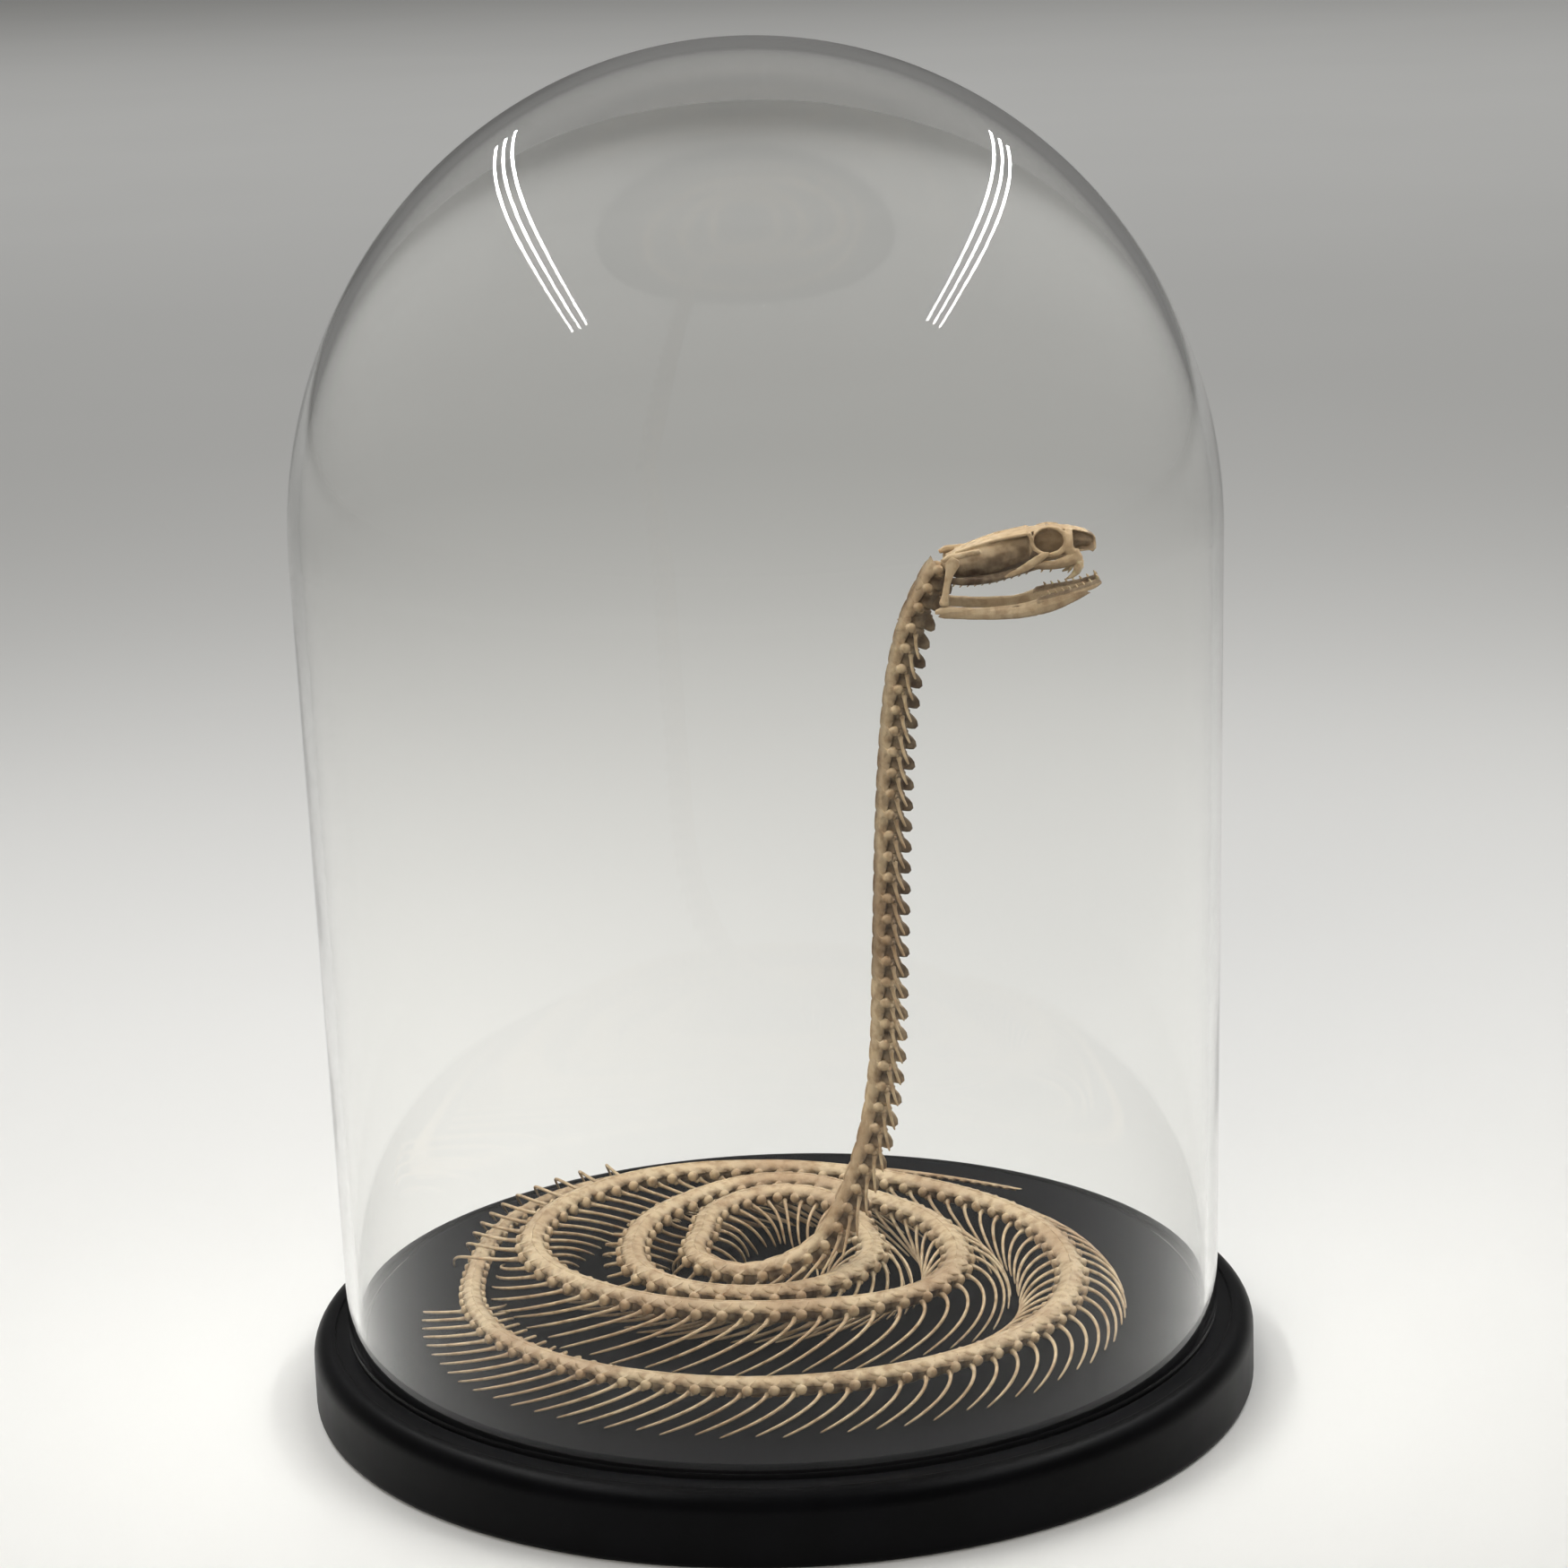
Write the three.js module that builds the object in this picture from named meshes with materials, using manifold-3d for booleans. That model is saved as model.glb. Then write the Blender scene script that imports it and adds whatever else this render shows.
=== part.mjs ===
// Museum skeleton of a cobra-like snake, coiled on a dark disc with its neck and head raised,
// under a glass dome on a turned black base. Millimetres, +Z up, the base's foot at z = 0.
// The spine is one path from the atlas to the tail tip: hand-chosen points down the neck, then a
// coil whose radius follows TURN_RADII. Everything on the spine is placed by its distance along it.
import * as THREE from 'three';
import { mergeVertices } from 'three/addons/utils/BufferGeometryUtils.js';
import Module from 'manifold-3d';

const wasm = await Module();
wasm.setup();
const { Manifold, Mesh } = wasm;

// ---- Base, disc and dome ----
const GAP = 0.3;
const BASE_RADIUS = 124.5;
const LEDGE_HEIGHT = 18.3;
const LIP_HEIGHT = 18.9;
const LIP_INNER_RADIUS = 118.7;
const BASE_ROUNDING = 5;
const DISC_RADIUS = 110.7;
const DISC_TOP = 21.6;
const DOME_FOOT_RADIUS = 115;
const DOME_SHOULDER_RADIUS = 118.1;
const DOME_SHOULDER_HEIGHT = 227.6;
const DOME_TOP = 351.3;
const GLASS_THICKNESS = 3;
const ROUND_SIDES = 36;
const DOME_SIDES = 28;

// ---- Coil of the body: radius at every 45 degrees, clockwise from above, head to tail ----
const COIL_CENTRE = new THREE.Vector2(0, 12);
const KNOT_STEP = 45;
const TURN_RADII = [
  36.1, 33.3, 29.6, 20.8, 24.8, 31, 25.6, 21.5, 32.4, 43.5, 45.3, 38.7, 37.6, 42, 36, 43, 56.4,
  53.5, 57.6, 66.9, 65.1, 55.4, 56, 71.9, 90.2, 95.4, 92, 82, 85, 77.6, 83.2, 112, 144,
];
const COIL_START = 15;
const TAIL_START = 1150;
const COIL_END = 1312;
const SPINE_HEIGHTS = [
  [0, 12.6], [360, 12.1], [720, 11.4], [900, 10.6], [990, 9], [1100, 8.4], [1145, 7], [1160, 5.8], [1215, 4.4], [1312, 3.2],
];

// ---- Neck: spine centre from the atlas down to the coil ----
const NECK_POINTS = [
  [45.6, -14, 219.3], [41.5, -14, 212], [37.6, -14, 202.5], [34.6, -14, 188], [32.6, -14, 169],
  [31.1, -14, 145], [29.9, -14, 118], [28.4, -14, 90], [24.9, -14.5, 70], [18.4, -15.8, 52.8],
  [9.4, -18.6, 40.4],
];

// ---- Vertebrae and ribs along the spine: tables of [share of the spine's length, value] ----
const VERTEBRA_LENGTHS = [[0, 5.3], [0.12, 5.8], [0.3, 6.5], [0.75, 6.4], [0.86, 5.4], [1, 3.3]];
const VERTEBRA_SIZES = [[0, 0.86], [0.12, 0.92], [0.28, 1], [0.7, 1], [0.86, 0.74], [0.95, 0.38], [1, 0.16]];
const RIB_LENGTHS = [
  [0, 7], [0.13, 13], [0.18, 19], [0.3, 26], [0.48, 30], [0.58, 29], [0.64, 24], [0.72, 22], [0.8, 24], [0.84, 22],
];
const CREST_HEIGHTS = [[0, 4.8], [0.12, 4.8], [0.17, 3.3], [1, 3.3]];
const KEEL_DEPTHS = [[0, 6], [0.11, 5.6], [0.16, 2.6], [1, 2.4]];
const HALF_WIDTH = 3.9;
const WAIST_WIDTH = 2.3;
const FRONT_CREST = 0.78;
const END_HEIGHT = 2.3;
const CENTRUM_DEPTH = 2.7;
const RIB_RADIUS = 0.55;
const RIB_SPREAD = 0.6;
const RIB_CLEARANCE = 0.9;
const TAIL_CLEARANCE = 5;
const INNERMOST_REACH = 0.6;
const ARCH_START = 800;
const ARCH_END = 864;
const ARCH_OVERHANG = 6;
const ARCH_FALL = 4;
const NECK_RIB_REACH = 1.9;
const NECK_RIB_SWEEP = 0.8;
const FIRST_RIB = 3;

// ---- Skull frame: origin at the occipital condyle, x forward, y to the animal's left, z up ----
const SKULL_ORIGIN = [46.5, -14, 220.5];

const BONE = { color: 0xcdb892, roughness: 0.62, metalness: 0 };
const SKULL_BONE = { color: 0xc4ae8a, roughness: 0.6, metalness: 0 };
const BLACK_PAINT = { color: 0x0c0c0e, roughness: 0.35, metalness: 0 };
const DISC_PAINT = { color: 0x2c2d2f, roughness: 0.45, metalness: 0 };
const GLASS = { color: 0xe8eeee, roughness: 0.03, metalness: 0, transparent: true, opacity: 0.22 };

const model = new THREE.Group();

function addNode(name, geometry, finish, parent = model) {
  const mesh = new THREE.Mesh(geometry, new THREE.MeshStandardMaterial(finish));
  mesh.name = name;
  parent.add(mesh);
  return mesh;
}

// ---- Small maths ----
// Value of a table of [position, value] rows, straight between the rows.
function tableValue(table, position) {
  const next = table.findIndex((row) => row[0] >= position);
  if (next === 0) return table[0][1];
  if (next < 0) return table[table.length - 1][1];
  const [x0, y0] = table[next - 1];
  const [x1, y1] = table[next];
  return y0 + ((y1 - y0) * (position - x0)) / (x1 - x0);
}

function catmullRom(a, b, c, d, u) {
  return b + 0.5 * u * (c - a + u * (2 * a - 5 * b + 4 * c - d + u * (3 * (b - c) + d - a)));
}

// ---- The spine's path ----
function coilRadius(angle) {
  const knot = Math.floor(angle / KNOT_STEP);
  return catmullRom(...TURN_RADII.slice(knot, knot + 4), angle / KNOT_STEP - knot);
}

// Angle 0 is the front (-Y), 90 the left (-X), 180 the back.
function coilPoint(angle) {
  const radius = coilRadius(angle);
  const turn = THREE.MathUtils.degToRad(angle);
  return new THREE.Vector3(
    COIL_CENTRE.x - radius * Math.sin(turn),
    COIL_CENTRE.y - radius * Math.cos(turn),
    DISC_TOP + tableValue(SPINE_HEIGHTS, angle),
  );
}

function spinePath() {
  const samples = [];
  const neck = NECK_POINTS.map((point) => new THREE.Vector3(...point));
  const knots = [neck[0], ...neck, coilPoint(COIL_START), coilPoint(COIL_START + 35)];
  const steps = 12;
  for (let i = 1; i < knots.length - 2; i++) {
    for (let j = 0; j < steps; j++) {
      const around = [knots[i - 1], knots[i], knots[i + 1], knots[i + 2]];
      const along = (axis) => catmullRom(...around.map((knot) => knot[axis]), j / steps);
      samples.push({ point: new THREE.Vector3(along('x'), along('y'), along('z')), angle: -1 });
    }
  }
  for (let angle = COIL_START; angle <= COIL_END; angle += 1) samples.push({ point: coilPoint(angle), angle });
  // Distance along the spine, and the tailward, dorsal and right-hand directions at each sample.
  const dorsal = new THREE.Vector3(0, 0, 1);
  samples.forEach((sample, i) => {
    const before = samples[Math.max(i - 1, 0)];
    const after = samples[Math.min(i + 1, samples.length - 1)];
    sample.tailward = after.point.clone().sub(before.point).normalize();
    dorsal.addScaledVector(sample.tailward, -dorsal.dot(sample.tailward)).normalize();
    if (sample.angle > 0) dorsal.set(0, 0, 1);
    sample.dorsal = dorsal.clone().addScaledVector(sample.tailward, -dorsal.dot(sample.tailward)).normalize();
    sample.right = sample.dorsal.clone().cross(sample.tailward).normalize();
    sample.distance = i ? before.distance + sample.point.distanceTo(before.point) : 0;
  });
  return samples;
}

const SPINE = spinePath();
const SPINE_LENGTH = SPINE[SPINE.length - 1].distance;
const NECK_LENGTH = SPINE.find((sample) => sample.angle > 0).distance;

// Point at a distance along the spine, moved to the right and up in the spine's own directions.
function onSpine(distance, right = 0, up = 0) {
  const clamped = THREE.MathUtils.clamp(distance, 0, SPINE_LENGTH - 1e-6);
  let low = 0;
  let high = SPINE.length - 1;
  while (high - low > 1) {
    const middle = (low + high) >> 1;
    if (SPINE[middle].distance > clamped) high = middle;
    else low = middle;
  }
  const from = SPINE[low];
  const to = SPINE[high];
  const u = (clamped - from.distance) / (to.distance - from.distance);
  const point = from.point.clone().lerp(to.point, u);
  point.addScaledVector(from.right.clone().lerp(to.right, u), right);
  point.addScaledVector(from.dorsal.clone().lerp(to.dorsal, u), up);
  return { point, angle: THREE.MathUtils.lerp(from.angle, to.angle, u) };
}

function vertebrae() {
  const list = [];
  let start = 0;
  while (start < SPINE_LENGTH - 3) {
    const share = start / SPINE_LENGTH;
    const length = tableValue(VERTEBRA_LENGTHS, share);
    const angle = onSpine(start).angle;
    list.push({ start, length, share, angle, size: tableValue(VERTEBRA_SIZES, share), index: list.length });
    start += length;
  }
  return list;
}

// ---- Ribs ----
// Distance to the turn outside this one.
function outerGap(angle) {
  return coilRadius(angle + 360) - coilRadius(angle);
}

// How far a rib may stand out sideways before it meets the ribs of the turn beside it, or the low tail.
function freeReach(angle, side) {
  if (side < 0 && angle < 360) return coilRadius(angle) * INNERMOST_REACH;
  if (side < 0) return outerGap(angle - 360) / 2 - RIB_CLEARANCE;
  if (angle + 360 > COIL_END) return Infinity;
  if (angle + 360 > TAIL_START) return outerGap(angle) - TAIL_CLEARANCE;
  return outerGap(angle) / 2 - RIB_CLEARANCE;
}

// A rib as a rule that gives its centre line: u runs from 0 at the vertebra to 1 at the tip.
function ribLine(vertebra, side) {
  const length = tableValue(RIB_LENGTHS, vertebra.share);
  const root = vertebra.start + 0.3 * vertebra.length;
  const waist = HALF_WIDTH * vertebra.size * 0.72;
  const { angle } = vertebra;
  if (angle < COIL_START) {
    const sweep = Math.min(length * NECK_RIB_SWEEP, NECK_LENGTH - root + 2);
    const reach = NECK_RIB_REACH + length * 0.06;
    return (u) => onSpine(root + sweep * u, side * (waist + reach * Math.sqrt(u)), -1.3 - length * u * (0.1 + 0.13 * u)).point;
  }
  const drop = onSpine(root).point.z - DISC_TOP - RIB_RADIUS - GAP;
  const tipAngle = onSpine(root + 0.6 * length).angle;
  const arched = side > 0 && angle > ARCH_START && angle < ARCH_END;
  const wanted = Math.min(length * RIB_SPREAD, freeReach(angle, side), freeReach(tipAngle, side));
  const overTail = arched ? Math.max(outerGap(angle), outerGap(tipAngle)) + ARCH_OVERHANG : 0;
  const reach = arched ? overTail : Math.max(wanted, waist + 1);
  const sweep = Math.sqrt(Math.max(length ** 2 - reach ** 2 - drop ** 2, 25));
  const openness = THREE.MathUtils.clamp((reach - 4) / 8, 0, 1);
  const fall = arched ? ARCH_FALL : 1.05 + 0.75 * openness;
  return (u) => {
    const out = waist + (reach - waist) * Math.sin((u * Math.PI) / 2);
    return onSpine(root + sweep * u ** 1.6, side * out, -0.6 - (drop - 0.6) * u ** fall).point;
  };
}

// ---- Closed triangle meshes ----
class Shell {
  constructor() {
    this.points = [];
    this.faces = [];
  }

  add(point) {
    this.points.push(point);
    return this.points.length - 1;
  }

  geometry() {
    const shape = new THREE.BufferGeometry();
    shape.setAttribute('position', new THREE.Float32BufferAttribute(this.points.flatMap((p) => p.toArray()), 3));
    shape.setIndex(this.faces.flat());
    shape.computeVertexNormals();
    return shape;
  }
}

// Grows a rib from a triangle of the vertebra, whose corners are its head-side top, tail-side top and foot.
function growRib(shell, corners, line, side, bends) {
  let ring = corners;
  bends.forEach((u) => {
    const centre = line(u);
    const along = line(u + 0.02).sub(line(u - 0.02)).normalize();
    const up = new THREE.Vector3(0, 0, 1).addScaledVector(along, -along.z).normalize();
    const across = up.clone().cross(along).multiplyScalar(-side);
    const radius = RIB_RADIUS * (1.25 - 0.5 * u);
    const spots = [[0.5, -0.87], [0.5, 0.87], [-1, 0]].map(([rise, run]) =>
      shell.add(centre.clone().addScaledVector(up, rise * radius).addScaledVector(across, run * radius)));
    const next = side > 0 ? spots : [spots[0], spots[2], spots[1]];
    for (let i = 0; i < 3; i++) {
      const j = (i + 1) % 3;
      shell.faces.push([ring[i], ring[j], next[j]], [ring[i], next[j], next[i]]);
    }
    ring = next;
  });
  const tip = shell.add(line(1));
  for (let i = 0; i < 3; i++) shell.faces.push([ring[i], ring[(i + 1) % 3], tip]);
}

// One length of the spine: a ring at the front joint and one at the waist of each vertebra, with its ribs.
function spineLength(members) {
  const shell = new Shell();
  const ring = (distance, width, top, bottom) => [[0, top], [width, 0], [0, -bottom], [-width, 0]]
    .map(([right, up]) => shell.add(onSpine(distance, right, up).point));
  const first = members[0];
  const last = members[members.length - 1];
  const endRing = (distance, size) => ring(distance, WAIST_WIDTH * size, END_HEIGHT * size, CENTRUM_DEPTH * size * 0.8);
  const start = endRing(first.start + GAP / 2, first.size);
  let previous = start;
  const bridge = (from, to, skip = false) => {
    for (let i = 0; i < 4; i++) {
      const j = (i + 1) % 4;
      if (i < 2) shell.faces.push([from[j], to[i], to[j]]);
      else shell.faces.push([from[i], to[i], to[j]]);
      if (skip && (i === 1 || i === 2)) continue;
      if (i < 2) shell.faces.push([from[i], to[i], from[j]]);
      else shell.faces.push([from[i], to[j], from[j]]);
    }
  };
  members.forEach((vertebra) => {
    const { start: at, length, size, share, angle } = vertebra;
    const crest = tableValue(CREST_HEIGHTS, share) * size;
    const keel = tableValue(KEEL_DEPTHS, share) * size;
    const ribbed = vertebra.index >= FIRST_RIB && angle < TAIL_START;
    if (angle < TAIL_START) {
      const front = ring(at + 0.16 * length, HALF_WIDTH * size, FRONT_CREST * crest, CENTRUM_DEPTH * size);
      bridge(previous, front);
      previous = front;
    }
    const waist = ring(at + 0.68 * length, WAIST_WIDTH * size, crest, keel);
    bridge(previous, waist, ribbed);
    if (ribbed) {
      const front = previous;
      const bends = angle > 720 && angle < 1000 ? [0.3, 0.7] : [0.42];
      growRib(shell, [front[1], waist[1], front[2]], ribLine(vertebra, 1), 1, bends);
      growRib(shell, [front[3], front[2], waist[3]], ribLine(vertebra, -1), -1, bends);
    }
    previous = waist;
  });
  const end = endRing(Math.min(last.start + last.length, SPINE_LENGTH) - GAP / 2, last.size);
  bridge(previous, end);
  shell.faces.push([start[0], start[1], start[2]], [start[0], start[2], start[3]]);
  shell.faces.push([end[0], end[2], end[1]], [end[0], end[3], end[2]]);
  return shell.geometry();
}

function buildSpine() {
  const all = vertebrae();
  const cuts = [['neck_upper', 0, 0.075], ['neck_lower', 0, 1]];
  for (let i = 0; i < 13; i++) cuts.push([`trunk_${String(i + 1).padStart(2, '0')}`, 90 * (i + 1), 1]);
  cuts.push(['tail_front', 1225, 1], ['tail_middle', 1272, 1], ['tail_tip', COIL_END, 1]);
  cuts.forEach(([name, lastAngle, lastShare]) => {
    const members = [];
    while (all.length && all[0].angle <= lastAngle && all[0].share <= lastShare) members.push(all.shift());
    addNode(name, spineLength(members), BONE);
  });
}

// ---- Joining solids ----
function solidOf(geometry) {
  const bare = new THREE.BufferGeometry();
  bare.setAttribute('position', geometry.getAttribute('position'));
  bare.setIndex(geometry.getIndex());
  const merged = mergeVertices(bare, 1e-4);
  return new Manifold(new Mesh({
    numProp: 3,
    vertProperties: new Float32Array(merged.attributes.position.array),
    triVerts: new Uint32Array(merged.index.array),
  }));
}

function geometryOf(solid) {
  const mesh = solid.getMesh();
  const geometry = new THREE.BufferGeometry();
  geometry.setAttribute('position', new THREE.Float32BufferAttribute(mesh.vertProperties, 3));
  geometry.setIndex(Array.from(mesh.triVerts));
  geometry.computeVertexNormals();
  return geometry;
}

function joined(...geometries) {
  return geometryOf(Manifold.union(geometries.map(solidOf)));
}

// Closed rod through stations of [x, y, z, half width, half height], its rings upright across the x axis,
// or across the z axis for rods that stand.
function rod(stations, sides = 6, standing = false) {
  const shell = new Shell();
  const rings = stations.map(([x, y, z, width, height]) => {
    const ring = [];
    for (let i = 0; i < sides; i++) {
      const turn = (2 * Math.PI * (i + 0.5)) / sides;
      const across = width * Math.cos(turn);
      const other = height * Math.sin(turn);
      ring.push(shell.add(standing
        ? new THREE.Vector3(x + other, y + across, z)
        : new THREE.Vector3(x, y + across, z + other)));
    }
    return ring;
  });
  for (let r = 0; r < rings.length - 1; r++) {
    for (let i = 0; i < sides; i++) {
      const j = (i + 1) % sides;
      shell.faces.push([rings[r][i], rings[r][j], rings[r + 1][j]], [rings[r][i], rings[r + 1][j], rings[r + 1][i]]);
    }
  }
  const last = rings[rings.length - 1];
  for (let i = 1; i < sides - 1; i++) {
    shell.faces.push([rings[0][0], rings[0][i + 1], rings[0][i]], [last[0], last[i], last[i + 1]]);
  }
  const rising = standing ? stations[stations.length - 1][2] > stations[0][2] : stations[stations.length - 1][0] > stations[0][0];
  if (rising === standing) shell.faces = shell.faces.map(([a, b, c]) => [a, c, b]);
  return shell.geometry();
}

// ---- Skull ----
function mirrored(stations, side) {
  return stations.map(([x, y, ...rest]) => [x, side * y, ...rest]);
}

function cranium() {
  const box = rod([
    [0.3, 0, 0.4, 1.5, 1.3], [2, 0, 0.5, 4.2, 2.4], [6, 0, 0.9, 5.4, 3.7], [11, 0, 1.6, 6, 4.6],
    [16, 0, 2.6, 5.7, 4.8], [20.5, 0, 3.9, 4.6, 4.3], [23.5, 0, 5.2, 3.5, 3.2], [27, 0, 5.3, 3.4, 3.1],
    [30, 0, 5, 4, 3.4], [33, 0, 4.8, 4.2, 3.1], [36.2, 0, 3.9, 3.3, 2.5], [37.8, 0, 3.2, 1.8, 1.8],
  ], 10);
  const pieces = [box];
  [1, -1].forEach((side) => {
    const postorbital = [[21.6, 2.4, 7.2, 1.8, 0.8], [21.6, 6, 6.8, 1, 0.9], [21, 6.8, 5.4, 0.6, 0.8],
      [22.7, 6.7, 3.2, 0.5, 0.6]];
    const prefrontal = [[30.8, 2.6, 7.4, 1.6, 1.2], [30.8, 4.8, 5.8, 1, 1.3], [31.6, 4.9, 3, 0.8, 1]];
    const supratemporal = [[-0.8, 6.2, 2, 0.7, 0.8], [3, 5.8, 2.8, 0.9, 1.1], [9, 4.6, 3, 0.8, 0.9]];
    pieces.push(rod(mirrored(postorbital, side), 5, true));
    pieces.push(rod(mirrored(prefrontal, side), 5, true));
    pieces.push(rod(mirrored(supratemporal, side), 5));
  });
  return joined(...pieces);
}

// Row of teeth standing on a rod's centre line, from one x to another, leaning back toward the tail.
function toothRow(stations, count, from, to, length, upward) {
  const teeth = [];
  for (let i = 0; i < count; i++) {
    const x = from + ((to - from) * i) / (count - 1);
    const y = tableValue(stations.map((row) => [row[0], row[1]]), x);
    const z = tableValue(stations.map((row) => [row[0], row[2]]), x);
    const tip = z + (upward ? length : -length);
    teeth.push(rod([[x, y, z, 0.45, 0.5], [x - 0.3 * length, y, tip, 0.12, 0.12]], 4, true));
  }
  return teeth;
}

function maxilla(side) {
  const body = rod(mirrored([[24, 6, 0.7, 0.7, 0.8], [27.5, 5.9, 0.7, 0.9, 1.2], [31, 5.4, 0.8, 1, 1.4],
    [34, 4.8, 1.2, 0.9, 1.3], [35.2, 4.4, 1.6, 0.6, 0.7]], side), 6);
  const fang = rod(mirrored([[33, 5, 0.2, 0.8, 1], [32.8, 5, -1.4, 0.6, 0.75], [31.6, 5, -2.9, 0.4, 0.5],
    [29.6, 5, -4.2, 0.12, 0.15]], side), 5, true);
  return joined(body, fang);
}

function palate(side) {
  const stations = mirrored([[1.4, 5.9, -3.9, 0.6, 0.7], [8, 5, -4.2, 1.2, 0.8], [15, 4.1, -3.3, 1.2, 0.7],
    [21, 3.6, -1.8, 0.9, 0.7], [27, 3.1, -0.4, 0.6, 0.6], [31, 2.9, 0.1, 0.4, 0.4]], side);
  const branch = rod(mirrored([[14.5, 4.2, -3.3, 0.8, 0.6], [19.5, 5.9, -1.2, 0.7, 1.1],
    [23.6, 6, 0.2, 0.6, 0.8]], side), 5);
  return joined(rod(stations, 5), branch, ...toothRow(stations, 7, 3, 21, 2, false));
}

function quadrate(side) {
  return rod(mirrored([[2.6, 6.8, 1.4, 0.7, 2.2], [1.2, 7.2, -1.6, 0.7, 1.3], [0.4, 7.3, -5.4, 0.8, 0.9],
    [-0.3, 7.4, -9.2, 1.2, 1.5]], side), 6, true);
}

function mandible(side) {
  const stations = mirrored([[-3.3, 7.4, -11.2, 0.7, 0.6], [-0.5, 7.4, -11.1, 1.1, 1.2], [5, 7.3, -11.5, 1, 1.3],
    [12.3, 7, -12.1, 1, 1.4], [21, 6.5, -11.8, 1, 1.4], [23.6, 6.2, -10.7, 1, 2.1], [29, 5.2, -9.3, 0.9, 2],
    [33, 4.2, -8.1, 0.85, 1.6], [37, 3, -6.7, 0.7, 1.2], [39.3, 2.1, -5.8, 0.5, 0.6]], side);
  return joined(rod(stations), ...toothRow(stations, 6, 26, 38, 3, true));
}

function buildSkull() {
  const skull = new THREE.Group();
  skull.position.set(...SKULL_ORIGIN);
  model.add(skull);
  addNode('cranium', cranium(), SKULL_BONE, skull);
  [['left', 1], ['right', -1]].forEach(([name, side]) => {
    addNode(`maxilla_${name}`, maxilla(side), SKULL_BONE, skull);
    addNode(`palate_${name}`, palate(side), SKULL_BONE, skull);
    addNode(`quadrate_${name}`, quadrate(side), SKULL_BONE, skull);
    addNode(`mandible_${name}`, mandible(side), SKULL_BONE, skull);
  });
}

// ---- Base, disc and dome ----
function turned(profile, sides = ROUND_SIDES) {
  return new THREE.LatheGeometry(profile.map(([r, z]) => new THREE.Vector2(r, z)), sides).rotateX(Math.PI / 2);
}

function buildCase() {
  const rounding = BASE_ROUNDING;
  addNode('base', turned([
    [0, 0], [BASE_RADIUS - 2, 0], [BASE_RADIUS, 2], [BASE_RADIUS, LIP_HEIGHT - rounding],
    [BASE_RADIUS - 0.3 * rounding, LIP_HEIGHT - 0.3 * rounding], [BASE_RADIUS - rounding, LIP_HEIGHT],
    [LIP_INNER_RADIUS, LIP_HEIGHT], [LIP_INNER_RADIUS, LEDGE_HEIGHT], [0, LEDGE_HEIGHT],
  ]), BLACK_PAINT);
  addNode('display_disc', turned([
    [0, LEDGE_HEIGHT + GAP], [DISC_RADIUS, LEDGE_HEIGHT + GAP], [DISC_RADIUS, DISC_TOP - 0.8],
    [DISC_RADIUS - 0.8, DISC_TOP], [0, DISC_TOP],
  ]), DISC_PAINT);
  addNode('glass_dome', glassDome(), GLASS);
}

function glassDome() {
  const steps = 7;
  const cap = (radius, height) => {
    const arc = [];
    for (let i = 0; i <= steps; i++) {
      const rise = (Math.PI / 2) * (i / steps);
      arc.push([i === steps ? 0 : radius * Math.cos(rise), DOME_SHOULDER_HEIGHT + height * Math.sin(rise)]);
    }
    return arc;
  };
  const foot = LEDGE_HEIGHT + GAP;
  const outside = [[DOME_FOOT_RADIUS, foot], ...cap(DOME_SHOULDER_RADIUS, DOME_TOP - DOME_SHOULDER_HEIGHT)];
  const inside = [
    [DOME_FOOT_RADIUS - GLASS_THICKNESS, foot],
    ...cap(DOME_SHOULDER_RADIUS - GLASS_THICKNESS, DOME_TOP - GLASS_THICKNESS - DOME_SHOULDER_HEIGHT),
  ];
  return turned([...inside.reverse(), ...outside], DOME_SIDES);
}

buildCase();
buildSkull();
buildSpine();

export default model;
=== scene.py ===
"""Museum skeleton of a cobra-like snake, coiled on a dark disc with its neck raised and its jaws open,
under a clear glass dome on a turned black base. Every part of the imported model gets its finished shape
and finish here. Sizes are millimetres in the parts' own functions; finish_piece() brings a finished
mesh to metres. The spine's path and the coil's rib rules are the ones that the solids were made with;
the neck's keels and rib tips reach up to a millimetre lower here."""

import bisect
import math
import random

import bmesh
import bpy
from mathutils import Matrix, Vector


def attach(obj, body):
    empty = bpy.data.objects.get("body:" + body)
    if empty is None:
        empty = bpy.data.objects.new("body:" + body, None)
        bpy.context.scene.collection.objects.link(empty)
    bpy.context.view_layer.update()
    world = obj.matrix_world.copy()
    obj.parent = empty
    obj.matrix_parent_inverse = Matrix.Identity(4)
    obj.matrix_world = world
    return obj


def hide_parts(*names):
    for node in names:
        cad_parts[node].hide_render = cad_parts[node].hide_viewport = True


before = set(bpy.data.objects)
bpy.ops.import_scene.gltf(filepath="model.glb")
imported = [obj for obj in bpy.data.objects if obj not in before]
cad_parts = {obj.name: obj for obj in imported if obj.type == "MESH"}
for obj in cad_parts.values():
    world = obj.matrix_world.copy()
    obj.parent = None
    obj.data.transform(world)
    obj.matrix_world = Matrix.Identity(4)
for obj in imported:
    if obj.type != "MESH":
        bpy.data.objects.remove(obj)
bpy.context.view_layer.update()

MM = 0.001

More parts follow.
